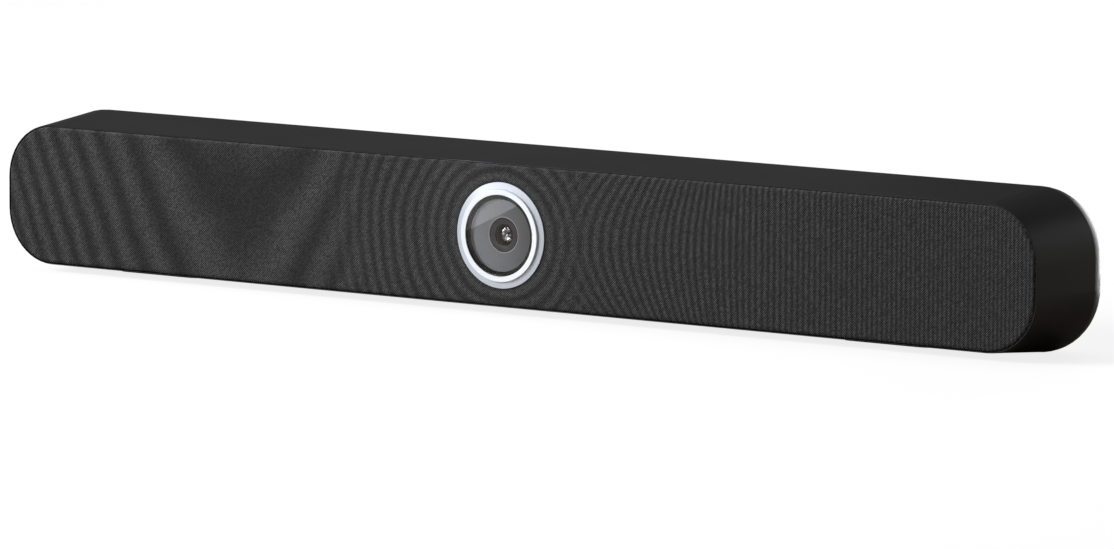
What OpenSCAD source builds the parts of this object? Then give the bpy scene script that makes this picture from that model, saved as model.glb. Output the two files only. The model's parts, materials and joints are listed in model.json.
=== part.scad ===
// Conference video bar: a long flared sleeve with a cloth-covered grille in front, a camera in a
// double metal ring at its centre, two loudspeakers, microphones, and a rounded rear cover with
// the sockets, the bracket holes and the button at its right end.
// Millimetres. X runs along the bar, Y from the front to the rear, Z up.
// The origin is the centre of the bracket holes, on the flat rear face.
// Depths (names that end in _d) are counted from the sleeve's front rim towards the rear.

/* [Body] */
// Width of the sleeve at its rear edge
body_w = 600; // [520:1:700]
// Height of the sleeve at its rear edge
body_h = 76; // [74:1:90]
// Radius of the sleeve's corners at its rear edge
corner_r = 30.4; // [27:0.1:32]
// How far each side grows from the front rim to the rear edge
flare = 4; // [3:0.1:6]
// Depth of the sleeve
shell_depth = 43; // [42:0.5:50]
// Wall of the sleeve
shell_wall = 2.4; // [2:0.1:3]

/* [Front rim] */
// Width of the thin rim that shows round the cloth
rim_wall = 0.5; // [0.4:0.1:1]
// Depth of the recess that takes the grille
rebate_depth = 6; // [5.5:0.5:8]
// Width of the ledge that the grille and the baffle meet
ledge_w = 2.5; // [2:0.1:3]
// Thickness of that ledge
ledge_t = 2; // [1.5:0.1:3]

/* [Rear cover] */
// Radius of the cover's rounded edge
cover_round = 14; // [12:0.5:16]
// Straight band between the seam and the rounding
cover_band = 0.5; // [0.3:0.1:2]
// Wall of the cover
cover_wall = 2.4; // [2:0.1:3]
// Length of the tongue that enters the sleeve
tongue_len = 3; // [2:0.1:4]
// Thickness of that tongue
tongue_t = 1.4; // [1:0.1:2]
// Number of cooling slots
vent_count = 21; // [9:2:21]
// Distance between cooling slots
vent_pitch = 5; // [4:0.1:5.2]
// Width of one cooling slot
vent_w = 2; // [1.5:0.1:2.5]
// Height of one cooling slot
vent_h = 13; // [8:0.5:14]
// Height of the slots' centre above the lens axis
vent_z = 13; // [12:0.5:14]

/* [Socket bay] */
// Width of the recess for the sockets
bay_w = 112; // [108:1:116]
// Height of the recess
bay_h = 19; // [18:0.5:20]
// Height of the recess's centre, below the lens axis
bay_z = -12.5; // [-13:0.5:-12]
// Depth of the recess
bay_depth = 5; // [4:0.5:7]
// Wall round the recess
bay_wall = 1.6; // [1.2:0.1:2]
// Thickness of the socket panel
panel_t = 1.6; // [1.2:0.1:2]

/* [Bracket holes] */
// Distance between the holes along the bar
bracket_w = 200; // [190:1:205]
// Distance between the upper and the lower holes
bracket_h = 24; // [20:1:30]
// Core radius of the M4 threads
bracket_r = 1.65; // [1.6:0.01:1.7]
// Outer radius of the brass inserts
insert_r = 2.9; // [2.7:0.1:3.2]
// Length of the inserts
insert_len = 8; // [6:0.5:8]
// Wall of the bosses round the inserts
insert_wall = 2.1; // [1.8:0.1:2.5]

/* [Cover screws] */
// Distance from the middle to the inner screws
screw_in_x = 86; // [84:1:88]
// Distance from the cover's ends to the outer screws
screw_end = 38; // [36:1:42]
// Distance from the cover's top and bottom to the screws
screw_edge = 12; // [11.5:0.1:12.5]
// Shank radius
screw_r = 1.5; // [1.4:0.05:1.6]
// Shank length
screw_len = 24; // [20:0.5:26]
// Head radius
screw_head_r = 2.8; // [2.6:0.1:3]
// Head height
screw_head_t = 1.8; // [1.6:0.1:2]
// Radius of the bosses that take the screws
screw_boss_r = 3.6; // [3.4:0.1:4]

/* [Inner screws] */
// Shank radius of the small screws
small_r = 1.2; // [1:0.05:1.3]
// Shank length
small_len = 6; // [4:0.1:6]
// Head radius
small_head_r = 2.2; // [2:0.1:2.3]
// Head height
small_head_t = 1.5; // [1.2:0.1:1.6]

/* [Rest pads] */
// Length of one pad along the bar
pad_w = 46; // [30:1:60]
// Length of one pad front to rear
pad_d = 9; // [8:0.5:10]
// Thickness of a pad
pad_t = 1.4; // [1.2:0.1:1.6]
// How far a pad stands out of the underside
pad_proud = 0.6; // [0.4:0.1:0.8]
// Distance from the middle to the pads
pad_x = 210; // [150:1:230]
// Distance from the sleeve's front and rear edges to the pads
pad_edge = 10.6; // [9:0.1:12]

/* [Grille] */
// Thickness of the grille's face
grille_t = 1.6; // [1.4:0.1:2]
// Thickness of the grille's edge wall
grille_edge_t = 1.5; // [1.2:0.1:1.8]
// Rounding of the grille's front edge
grille_round = 1.2; // [0.8:0.1:1.4]
// Thickness of the cloth
cloth_t = 0.6; // [0.4:0.1:0.7]
// How far the cloth's hem reaches back
cloth_hem = 4; // [3:0.1:4.2]
// Radius of a sound hole
hole_r = 1.8; // [1.5:0.1:2]
// Distance between sound holes
hole_pitch = 5.6; // [5.4:0.1:7]
// Columns of sound holes before each loudspeaker
hole_columns = 17; // [9:2:17]
// Rows of sound holes
hole_rows = 9; // [5:2:9]

/* [Baffle] */
// Thickness of the plate that carries the camera and the loudspeakers
baffle_t = 2.5; // [2:0.1:3]
// Distance from the middle to the inner baffle screws
lug_in_x = 62; // [60:1:70]
// Distance from the sleeve's ends to the outer baffle screws
lug_end = 48; // [46:1:52]
// Radius of the lugs that take the baffle screws
lug_r = 2.6; // [2.4:0.1:2.8]
// Length of those lugs
lug_len = 5; // [4:0.1:5.2]

/* [Camera rings] */
// Outer radius of the satin outer ring
bezel_r = 25; // [24.5:0.1:26]
// Thickness of its flange at the outer edge
bezel_edge_t = 0.5; // [0.4:0.05:0.7]
// Thickness of its flange at the inner edge
bezel_t = 0.9; // [0.8:0.05:1.1]
// Outer radius of its sleeve
bezel_tube_r = 22.1; // [21.9:0.1:22.4]
// Wall of its sleeve
bezel_tube_t = 1.2; // [1:0.1:1.3]
// Outer radius of the bright inner ring
trim_r = 21.9; // [21.6:0.1:22]
// Inner radius of the bright ring, round the glass
trim_bore_r = 19.3; // [19:0.1:19.5]
// How far the bright ring stands before the outer ring
trim_t = 1.1; // [0.9:0.1:1.4]
// Width of the seat behind the glass
trim_seat_w = 2; // [1.8:0.1:2.2]
// Thickness of that seat
trim_seat_t = 1; // [0.8:0.1:1.2]

/* [Cover glass] */
// Thickness of the glass
glass_t = 1.1; // [0.9:0.1:1.2]
// How far the glass lies behind the bright ring's front
glass_sink = 0.3; // [0.2:0.05:0.4]
// Radius of the clear window inside the black border
window_r = 17.1; // [16.8:0.1:17.2]
// Thickness of the black border film
mask_t = 0.15; // [0.1:0.05:0.2]

/* [Camera] */
// Radius of the opening for the lens
lens_hole_r = 8.1; // [8.05:0.05:8.3]
// Radius of the lens barrel
barrel_r = 7.9; // [7.7:0.1:8]
// Length of the lens barrel
barrel_len = 18; // [17:0.5:19]
// Depth of the lens barrel's front edge
barrel_d = 2.1; // [2:0.1:2.4]
// How far the grey dish sinks towards the lens
dish_sink = 1.6; // [1.4:0.1:1.8]
// Thickness of the dish
dish_t = 0.9; // [0.8:0.1:1.1]
// Radius of the front lens
lens_r = 5.7; // [5.4:0.1:5.8]
// Side of the camera's circuit board
camera_board_w = 40; // [38:1:42]
// Side of the lens mount
mount_w = 24; // [22:0.5:26]

/* [Loudspeakers] */
// Gap between a loudspeaker's frame and its chamber's wall
speaker_gap = 2.3; // [2:0.1:3]
// Width of the frame's ring outside the cone
speaker_ring = 7; // [6.8:0.1:7.5]
// Thickness of the cone
cone_t = 0.6; // [0.5:0.1:0.8]
// Outer radius of the voice coil
coil_r = 7.9; // [7.7:0.1:8]
// How far the voice coil reaches past the front pole plate
coil_reach = 1.9; // [1.5:0.1:2.5]
// Radius of the magnet
magnet_r = 17; // [16:0.1:18]
// Thickness of the pole plates
pole_t = 3; // [2.5:0.1:3.2]
// Travel of the cone each way
cone_travel = 1.5; // [1:0.1:1.8]
// Distance from the sleeve's ends to the chambers
chamber_end = 60; // [58:1:64]
// Gap between the chambers and the main board
chamber_board_gap = 20; // [18:1:24]
// Gap between a chamber and the sleeve above and below it
chamber_gap = 2.3; // [2:0.1:3]
// Gap between a chamber and the bracket bosses behind it
chamber_back_gap = 3; // [2.5:0.1:4]
// Wall of a chamber
chamber_wall = 2; // [1.8:0.1:2.4]

/* [Microphones] */
// Distance from the middle to the inner microphones
mic_in_x = 52; // [50:1:54]
// Distance from the middle to the outer microphones
mic_out_x = 84; // [80:1:86]
// Radius of a rubber sound tube
mic_seal_r = 3.2; // [3:0.1:3.6]
// Radius of its sound hole
mic_bore_r = 0.9; // [0.7:0.1:1]

/* [Main board] */
// Width of the board
board_w = 160; // [156:1:162]
// Gap between the board's long edges and the sleeve
board_edge = 6.1; // [5.5:0.1:7]
// Thickness of all circuit boards
board_t = 1.6; // [1.2:0.1:1.8]
// Length of the sockets, from the board to the panel's face
socket_len = 13.4; // [12.5:0.1:14]
// Distance from the board's ends to its screws
post_end = 5; // [4.5:0.1:6]
// Distance from the board's long edges to its screws
post_edge = 7; // [6:0.5:8]
// Radius of the posts that carry the board
post_r = 3; // [2.8:0.1:3.2]
// Number of cooling fins
fin_count = 15; // [9:2:17]

/* [Power button] */
// Radius of the button
button_r = 3.3; // [3:0.1:3.4]
// Height of the button's centre, below the lens axis
button_z = -4.2; // [-4.3:0.1:-3.8]
// Depth of the button, slot and light from the seam
side_d = 7.2; // [6.5:0.1:7.5]
// Travel of the button
button_travel = 0.6; // [0.4:0.05:0.7]
// Radius of the dimple in the button
dimple_r = 2.1; // [1.8:0.1:2.3]
// Depth of the dimple
dimple_t = 0.35; // [0.2:0.05:0.5]
// Height of the lock slot's centre above the lens axis
lock_z = 7; // [6.8:0.1:7.4]
// Height of the lock slot
lock_h = 2.6; // [2.5:0.1:3]
// Length of the lock slot
lock_len = 6; // [5.5:0.1:6.5]
// Angle of the lock slot round the rounded end, from square to the end
lock_angle = 35; // [30:1:45]
// Height of the status light, below the lens axis
light_z = -10.4; // [-10.6:0.1:-10.2]
// Radius of the status light
light_r = 0.8; // [0.6:0.1:0.9]

/* [Clearances] */
// Gap between the cloth and the rim
cloth_gap = 0.25; // [0.2:0.05:0.4]
// Gap between parts that slip together
slip_gap = 0.2; // [0.15:0.05:0.3]
// Gap round the button
button_gap = 0.3; // [0.25:0.05:0.35]
// Gap between a moving edge and what surrounds it
air_gap = 0.3; // [0.25:0.05:0.35]
// Gap round screws in their holes
screw_gap = 0.05; // [0.03:0.01:0.08]

/* [Hidden] */

$fn = 64;
// Overrun of every cut past the face that it opens
cut = 1;
sides = [-1, 1];
// Small bevel on crisp edges
rim_break = 0.2;

cover_depth = cover_band + cover_round;
total_depth = shell_depth + cover_depth;
corner_x = body_w / 2 - corner_r;
corner_z = body_h / 2 - corner_r;
front_r = corner_r - flare;

// Front to rear, every depth follows from the one before it
rebate_r = front_r - rim_wall;
cloth_r = rebate_r - cloth_gap;
grille_r = cloth_r - cloth_t;
baffle_d = rebate_depth + ledge_t;
baffle_back_d = baffle_d + baffle_t;
tongue_r = inner_r(shell_depth - tongue_len) - slip_gap;
tongue_root_r = corner_r - cover_wall + rim_break;
boss_end_d = shell_depth - tongue_len - slip_gap;
rear_in_d = total_depth - cover_wall;
rear_mid_d = total_depth - cover_wall / 2;
bracket_boss_d = total_depth - insert_len - insert_wall;
panel_out_d = total_depth - bay_depth;
panel_in_d = panel_out_d - panel_t;
board_back_d = panel_out_d - socket_len;
board_d = board_back_d - board_t;
board_h = 2 * (corner_z + inner_r(board_d) - board_edge);
post_x = board_w / 2 - post_end;
post_z = board_h / 2 - post_edge;
screw_out_x = body_w / 2 - screw_end;
screw_z = body_h / 2 - screw_edge;
lug_out_x = body_w / 2 - lug_end;

// Camera depths
bezel_out_d = -cloth_t - bezel_t;
trim_out_d = bezel_out_d - trim_t;
glass_out_d = trim_out_d + glass_sink;
glass_in_d = glass_out_d + glass_t;
seat_out_d = glass_in_d + mask_t;
seat_in_d = seat_out_d + trim_seat_t;
bezel_bore_r = bezel_tube_r - bezel_tube_t;
barrel_end_d = barrel_d + barrel_len;
lens_front_d = barrel_d + glass_t;
shelf_t = 1;
filter_t = 0.5;
filter_r = 4.6;
filter_hole_r = 3.8;
sensor_cave_h = 1.8;
shelf_d = barrel_end_d + slip_gap;
cave_d = shelf_d + shelf_t;
camera_board_d = cave_d + sensor_cave_h;
camera_back_d = camera_board_d + board_t;
carrier_r = bezel_bore_r - slip_gap;
carrier_tube_t = 2;
carrier_plate_t = 2;
carrier_w = 56;
carrier_h = 52;
camera_post = 15.5;
camera_post_r = 2.5;
carrier_screw_x = carrier_w / 2 - camera_post_r - slip_gap;
carrier_screw_z = carrier_h / 2 - camera_post_r - slip_gap;

// Loudspeaker places: the chamber fills the space between the sleeve, the board and the bracket bosses
chamber_h = 2 * (corner_z + inner_r(baffle_back_d) - chamber_gap);
chamber_in_x = board_w / 2 + chamber_board_gap;
chamber_w = body_w / 2 - chamber_end - chamber_in_x;
speaker_x = chamber_in_x + chamber_w / 2;
chamber_d = baffle_back_d;
chamber_end_d = bracket_boss_d - chamber_back_gap;
chamber_depth = chamber_end_d - chamber_d;
speaker_r = chamber_h / 2 - chamber_wall - speaker_gap;
cone_r = speaker_r - speaker_ring;
gasket_t = 1;
lip_t = 0.5;
lip_lap = 3;
basket_wall = 1.5;
basket_low_r = 15.5;
spider_out_r = 15.3;
spider_t = 0.5;
spider_folds = 6;
coil_wall = 0.6;
speaker_hole_r = speaker_r - lip_lap;
lip_out_r = speaker_r - lip_lap;
lip_in_r = lip_out_r - air_gap;
flange_in_r = lip_in_r - lip_t;
roll_r = (lip_in_r - cone_r - air_gap) / 2;

// Loudspeaker depths: shares of the depth between the frame's front and the rear pole plate's back
cone_rise_share = 0.262;
spider_gap_share = 0.115;
flange_d = baffle_back_d + gasket_t;
yoke_end_d = chamber_end_d - chamber_wall - 2 * slip_gap;
speaker_depth = yoke_end_d - flange_d;
neck_d = flange_d + speaker_depth * cone_rise_share;
spider_d = neck_d + speaker_depth * spider_gap_share;
basket_floor_d = spider_d + speaker_depth * spider_gap_share;
top_plate_d = basket_floor_d + basket_wall;
magnet_d = top_plate_d + pole_t;
yoke_d = yoke_end_d - pole_t;
magnet_t = yoke_d - magnet_d;
coil_d = neck_d - cone_t;
coil_len = magnet_d + coil_reach - coil_d;
pole_r = coil_r - coil_wall - air_gap;
gap_r = coil_r + air_gap;

// Right-hand end: every place along X follows from the cover's inside
side_pad_t = 6;
side_pad_x = body_w / 2 - side_pad_t;
side_pad_d = 11;
cap_lip = 0.8;
cap_flange_r = button_r + cap_lip;
cap_flange_t = 1.2;
cap_in_x = side_pad_x - slip_gap - cap_flange_t;
switch_w = 6;
switch_h = 3.5;
plunger_r = 1.4;
plunger_grip = 1.1;
plunger_len = 3.5;
switch_top_x = cap_in_x - plunger_len;
side_board_x = switch_top_x - switch_h;
button_d = shell_depth + side_d;
lock_plate_t = 1.5;
lock_margin = 2;
lock_edge = 0.5;
lock_pad_t = 6;
lock_pad_r = cover_round - lock_pad_t;
side_post_r = 1.2;
side_post_drop = 3.6;
side_post_rise = 6;
side_post_low = light_z - side_post_drop;
side_post_high = button_z + side_post_rise;
side_board_end = 1.6;
side_board_reach = 5.8;
side_board_front_d = button_d - side_board_reach;
side_board_rear_d = rear_in_d - slip_gap;
side_pad_low = side_post_low - side_post_r;
side_pad_high = side_post_high + side_post_r;
light_sink = 0.3;

function sleeve_r(d) = front_r + flare * d / shell_depth;
function inner_r(d) = sleeve_r(d) - shell_wall;
function y_at(d) = d - total_depth;

// Extrudes an X-Z outline from depth d rearwards by t
module plate(d, t) {
    translate([0, y_at(d + t), 0]) rotate([90, 0, 0]) linear_extrude(t) children();
}

// Turns a profile of [radius, depth] about the line through [x, z]
module turned(x = 0, z = 0) {
    translate([x, y_at(0), z]) rotate([-90, 0, 0]) rotate_extrude() children();
}

// A round bar along the depth
module rod(x, z, d, r, t) {
    translate([x, y_at(d), z]) rotate([-90, 0, 0]) cylinder(h = t, r = r);
}

// A round bar along X
module cross_rod(x, d, z, r, t) {
    translate([x, y_at(d), z]) rotate([0, 90, 0]) cylinder(h = t, r = r);
}

// A block between two corners given as [x, depth, z]
module block(low, high) {
    translate([low[0], y_at(low[1]), low[2]]) cube(high - low);
}

module round_rect(w, h, r) {
    square([w - 2 * r, h], center = true);
    square([w, h - 2 * r], center = true);
    for (x = sides, z = sides) translate([x * (w / 2 - r), z * (h / 2 - r)]) circle(r);
}

// Carries a profile of [distance from the corner's centre, depth] right round the bar
module swept() {
    translate([0, y_at(0), 0]) {
        for (z = sides) mirror([0, 0, z < 0 ? 1 : 0])
            translate([-corner_x, 0, corner_z]) rotate([90, 0, 90])
                linear_extrude(2 * corner_x) mirror([1, -1, 0]) children();
        for (x = sides) mirror([x < 0 ? 1 : 0, 0, 0])
            translate([corner_x, 0, -corner_z]) linear_extrude(2 * corner_z) children();
        for (x = sides, z = sides) translate([x * corner_x, 0, z * corner_z])
            rotate([-90, 0, 0]) rotate([0, 0, z < 0 ? (x < 0 ? 90 : 0) : (x < 0 ? 180 : 270)])
                rotate_extrude(angle = 90) children();
    }
}

// Its children, and the same mirrored top to bottom
module both_ways() {
    children();
    mirror([0, 0, 1]) children();
}

// The block between the four corner centres
module core(d, t) {
    plate(d, t) square([2 * corner_x, 2 * corner_z], center = true);
}

// A profile r wide from depth d to end, its outer front corner rounded by round
module front_edge(r, round, d, end) {
    translate([0, d]) {
        square([r - round, end - d]);
        translate([0, round]) square([r, end - d - round]);
        intersection() {
            translate([r - round, round]) circle(round);
            translate([r - round, 0]) square(round);
        }
    }
}

// A profile r wide from depth d, its outer rear corner rounded by round
module rear_edge(r, round, d, band) {
    translate([0, d]) {
        square([r - round, band + round]);
        square([r, band]);
        intersection() {
            translate([r - round, band]) circle(round);
            translate([r - round, band]) square(round);
        }
    }
}

// The sleeve's outer form, moved inwards by inset
module sleeve_body(inset) {
    swept() polygon([[0, 0], [front_r - inset, 0], [corner_r - inset, shell_depth], [0, shell_depth]]);
    core(0, shell_depth);
}

// The cover's outer form, moved inwards by inset
module cover_body(inset) {
    swept() rear_edge(corner_r - inset, cover_round - inset, shell_depth, cover_band);
    core(shell_depth, cover_depth - inset);
}

module at_cover_screws() {
    for (x = [-screw_out_x, -screw_in_x, screw_in_x, screw_out_x], z = sides)
        translate([x, 0, z * screw_z]) children();
}

module at_lugs() {
    for (x = [-lug_out_x, -lug_in_x, lug_in_x, lug_out_x], z = sides)
        translate([x, 0, z * lug_z]) children();
}
lug_z = corner_z + grille_r - grille_edge_t - lug_r - slip_gap;

module at_brackets() {
    for (x = sides, z = sides) translate([x * bracket_w / 2, 0, z * bracket_h / 2]) children();
}

module at_speakers() {
    for (x = sides) translate([x * speaker_x, 0, 0]) children();
}

module at_microphones() {
    for (x = [-mic_out_x, -mic_in_x, mic_in_x, mic_out_x]) translate([x, 0, 0]) children();
}

module at_board_posts() {
    for (x = sides, z = sides) translate([x * post_x, 0, z * post_z]) children();
}

module at_camera_posts() {
    for (x = sides, z = sides) translate([x * camera_post, 0, z * camera_post]) children();
}

module at_carrier_screws() {
    for (x = sides, z = sides) translate([x * carrier_screw_x, 0, z * carrier_screw_z]) children();
}

module at_speaker_screws() {
    reach = speaker_r - small_r - slip_gap;
    for (a = [45:90:315]) translate([reach * cos(a), 0, reach * sin(a)]) children();
}

// The middle of the rounded right-hand end at the lock slot, with X square to the surface there
module at_lock() {
    translate([body_w / 2 - cover_round, y_at(shell_depth + cover_band), lock_z])
        rotate([0, 0, lock_angle]) children();
}

// Tilts its children to lie on the sloped underside, with Z square to it
module on_underside() {
    translate([0, y_at(0), -corner_z - front_r]) rotate([-atan(flare / shell_depth), 0, 0]) children();
}

module at_pads() {
    slope_len = norm([shell_depth, flare]);
    for (x = sides, y = sides)
        translate([x * pad_x, slope_len / 2 + y * (slope_len / 2 - pad_edge), 0]) children();
}

module pad_outline(grow) {
    hull_r = pad_d / 2 + grow;
    square([pad_w - pad_d, 2 * hull_r], center = true);
    for (x = sides) translate([x * (pad_w - pad_d) / 2, 0]) circle(hull_r);
}

// Housing

module shell_sleeve() {
    color("#1d1d1f") difference() {
        union() {
            swept() polygon([
                [rebate_r, 0], [front_r - rim_break, 0], [front_r, rim_break],
                [corner_r, shell_depth], [corner_r - shell_wall, shell_depth],
                [inner_r(baffle_d), baffle_d], [rebate_r - ledge_w, baffle_d],
                [rebate_r - ledge_w, rebate_depth], [rebate_r, rebate_depth]
            ]);
            at_lugs() rod(0, 0, baffle_d - lug_len, lug_r, lug_len);
            both_ways() for (x = [-lug_out_x, -lug_in_x, lug_in_x, lug_out_x])
                block([x - lug_r, rebate_depth, lug_z], [x + lug_r, baffle_d, corner_z + rebate_r]);
            intersection() {
                sleeve_body(shell_wall / 2);
                union() {
                    at_cover_screws() rod(0, 0, screw_boss_d, screw_boss_r, boss_end_d - screw_boss_d);
                    both_ways() for (x = [-screw_out_x, -screw_in_x, screw_in_x, screw_out_x])
                        block([x - screw_r, screw_boss_d, screw_z], [x + screw_r, boss_end_d, body_h / 2]);
                }
            }
        }
        at_lugs() rod(0, 0, baffle_back_d - small_len - slip_gap, small_r + screw_gap, small_len);
        at_cover_screws() rod(0, 0, screw_tip_d - slip_gap, screw_r + screw_gap, screw_len);
        on_underside() at_pads() translate([0, 0, -cut])
            linear_extrude(pad_t - pad_proud + cut) pad_outline(screw_gap);
    }
}
screw_seat_d = rear_in_d - slip_gap;
screw_tip_d = screw_seat_d - screw_len;
screw_boss_d = screw_tip_d - shell_wall;

module rear_cover() {
    color("#232326") difference() {
        union() {
            difference() {
                cover_body(0);
                swept() rear_edge(corner_r - cover_wall, cover_round - cover_wall,
                    shell_depth - cut, cover_band + cut);
                core(shell_depth - cut, cover_depth - cover_wall + cut);
            }
            swept() translate([0, shell_depth - tongue_len]) polygon([
                [tongue_r - tongue_t, 0], [tongue_r, 0], [tongue_r, tongue_len],
                [tongue_root_r, tongue_len], [tongue_root_r, tongue_len + cover_band],
                [tongue_r - tongue_t, tongue_len + cover_band]
            ]);
            // walls of the socket bay
            plate(panel_out_d, rear_mid_d - panel_out_d)
                translate([0, bay_z]) square([bay_w + 2 * bay_wall, bay_h + 2 * bay_wall], center = true);
            at_brackets() rod(0, 0, bracket_boss_d, insert_r + insert_wall, rear_mid_d - bracket_boss_d);
            at_board_posts() rod(0, 0, board_back_d, post_r, rear_mid_d - board_back_d);
            at_cover_screws() rod(0, 0, boss_end_d, screw_boss_r, rear_mid_d - boss_end_d);
            // thick pads behind the button, the lock slot and the light
            intersection() {
                cover_body(0);
                union() {
                    block([side_pad_x, button_d - side_pad_d / 2, side_pad_low],
                        [body_w / 2, button_d + side_pad_d / 2, side_pad_high]);
                    at_lock() lock_block(lock_pad_r, cover_round, lock_margin);
                }
            }
            for (z = [side_post_low, side_post_high])
                cross_rod(side_board_x, button_d, z, side_post_r, side_pad_x - side_board_x + cut);
        }
        // socket bay
        plate(panel_out_d - cut, bay_depth + 2 * cut)
            translate([0, bay_z]) square([bay_w, bay_h], center = true);
        // cooling slots
        for (i = [0:vent_count - 1])
            plate(rear_in_d - cut, cover_wall + 2 * cut)
                translate([(i - (vent_count - 1) / 2) * vent_pitch, vent_z]) {
                    square([vent_w, vent_h - vent_w], center = true);
                    for (z = sides) translate([0, z * (vent_h - vent_w) / 2]) circle(vent_w / 2);
                }
        at_brackets() rod(0, 0, total_depth - insert_len, insert_r, insert_len + cut);
        at_board_posts() rod(0, 0, board_back_d - cut, small_r + screw_gap, small_len + cut);
        at_cover_screws() {
            rod(0, 0, boss_end_d - cut, screw_r + slip_gap, cover_depth + shell_depth);
            rod(0, 0, screw_seat_d, screw_head_r + slip_gap, cover_wall + cut);
        }
        // button, lock slot and light, along X
        cross_rod(side_pad_x - cut, button_d, button_z, button_r + button_gap, body_w / 2);
        cross_rod(side_board_x, button_d, button_z, cap_flange_r + button_gap, side_pad_x - side_board_x);
        at_lock() lock_block(lock_pad_r - cut, cover_round + cut, 0);
        cross_rod(side_pad_x - cut, button_d, light_z, light_r + screw_gap, body_w / 2);
    }
}

module port_panel() {
    color("#141416") difference() {
        plate(panel_in_d, panel_t) translate([0, bay_z])
            square([bay_w + 2 * bay_wall, bay_h + 2 * bay_wall], center = true);
        plate(panel_in_d - cut, panel_t + 2 * cut) {
            translate([jack_x, bay_z]) square([jack_w + slip_gap, jack_h + slip_gap], center = true);
            translate([network_x, bay_z]) square([network_w + slip_gap, network_h + slip_gap], center = true);
            translate([display_x, bay_z]) display_outline(slip_gap / 2);
            translate([usb_c_x, bay_z]) stadium(usb_c_w, usb_c_h, slip_gap / 2);
            translate([usb_a_x, bay_z]) square([usb_a_w + slip_gap, usb_a_h + slip_gap], center = true);
        }
    }
}

// A block round the lock slot from low to high along its axis, margin wider than the slot all round
module lock_block(low, high, margin) {
    translate([low, -lock_len / 2 - margin, -lock_h / 2 - margin])
        cube([high - low, lock_len + 2 * margin, lock_h + 2 * margin]);
}

module lock_plate() {
    color("#8d9094") at_lock() difference() {
        lock_block(lock_pad_r - lock_plate_t, lock_pad_r, lock_margin - lock_edge);
        lock_block(lock_pad_r - lock_plate_t - cut, lock_pad_r + cut, 0);
    }
}

module cover_screws() {
    color("#2b2b2e") at_cover_screws() difference() {
        union() {
            rod(0, 0, screw_tip_d, screw_r, screw_len);
            rod(0, 0, screw_seat_d, screw_head_r, screw_head_t);
        }
        rod(0, 0, screw_seat_d + screw_head_t / 2, screw_r, screw_head_t);
    }
}

module bracket_inserts() {
    color("#b08d4a") at_brackets() difference() {
        rod(0, 0, total_depth - insert_len, insert_r, insert_len);
        rod(0, 0, total_depth - insert_len - cut, bracket_r, insert_len + 2 * cut);
    }
}

module rest_pads() {
    color("#0f0f10") on_underside() at_pads()
        translate([0, 0, -pad_proud]) linear_extrude(pad_t) pad_outline(0);
}

// Grille

module at_holes() {
    for (row = [0:hole_rows - 1]) {
        shift = row % 2 == 0 ? 0 : 1;
        for (i = [0:hole_columns - 1 - shift])
            translate([(i + shift / 2 - (hole_columns - 1) / 2) * hole_pitch,
                (row - (hole_rows - 1) / 2) * hole_pitch * sin(60)])
                children();
    }
}

module grille_carrier() {
    foot_r = rebate_r - slip_gap;
    color("#2a2a2c") difference() {
        union() {
            swept() difference() {
                front_edge(grille_r, grille_round, 0, rebate_depth);
                translate([0, grille_t]) square([grille_r - grille_edge_t, rebate_depth]);
            }
            core(0, grille_t);
            swept() translate([grille_r - grille_edge_t, cloth_hem + slip_gap])
                square([foot_r - grille_r + grille_edge_t, rebate_depth - cloth_hem - slip_gap]);
        }
        rod(0, 0, -cut, bezel_tube_r + slip_gap, grille_t + 2 * cut);
        plate(-cut, grille_t + 2 * cut) {
            for (x = sides) translate([x * speaker_x, 0]) at_holes() circle(hole_r);
            for (x = [-mic_out_x, -mic_in_x, mic_in_x, mic_out_x]) translate([x, 0]) circle(mic_bore_r);
        }
    }
}

module grille_cloth() {
    color("#4a4a4c") difference() {
        union() {
            swept() difference() {
                front_edge(cloth_r, grille_round + cloth_t, -cloth_t, cloth_hem);
                front_edge(grille_r, grille_round, 0, cloth_hem + cut);
            }
            core(-cloth_t, cloth_t);
        }
        rod(0, 0, -cloth_t - cut, bezel_tube_r + slip_gap, cloth_t + 2 * cut);
    }
}

module front_baffle() {
    side_r = inner_r(baffle_d) - air_gap;
    color("#343438") difference() {
        plate(baffle_d, baffle_t)
            round_rect(2 * (corner_x + side_r), 2 * (corner_z + side_r), side_r);
        rod(0, 0, baffle_d - cut, carrier_r + slip_gap / 2, baffle_t + 2 * cut);
        at_speakers() rod(0, 0, baffle_d - cut, speaker_hole_r, baffle_t + 2 * cut);
        at_lugs() rod(0, 0, baffle_d - cut, small_r + screw_gap, baffle_t + 2 * cut);
        at_microphones() rod(0, 0, baffle_d - cut, mic_seal_r + screw_gap, baffle_t + 2 * cut);
        at_carrier_screws() rod(0, 0, baffle_d - cut, small_r + screw_gap, baffle_t + 2 * cut);
        at_speakers() at_speaker_screws() rod(0, 0, baffle_d - cut, small_r + screw_gap, baffle_t + 2 * cut);
    }
}

// A small screw along the depth with its head's seat at depth d, driven from the rear
module small_screw(d, length) {
    rod(0, 0, d - length, small_r, length);
    rod(0, 0, d, small_head_r, small_head_t);
}

module inner_screws() {
    color("#9a9ca0") {
        at_lugs() small_screw(baffle_back_d, small_len);
        at_carrier_screws()
            small_screw(baffle_back_d + carrier_plate_t, baffle_t + carrier_plate_t - slip_gap);
        at_camera_posts() small_screw(camera_back_d, small_len);
        at_speakers() at_speaker_screws()
            small_screw(flange_d + basket_wall, basket_wall + gasket_t + baffle_t - slip_gap);
        at_board_posts() translate([0, 2 * y_at(board_d), 0]) mirror([0, 1, 0])
            small_screw(board_d, small_len);
    }
}

// Camera

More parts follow.
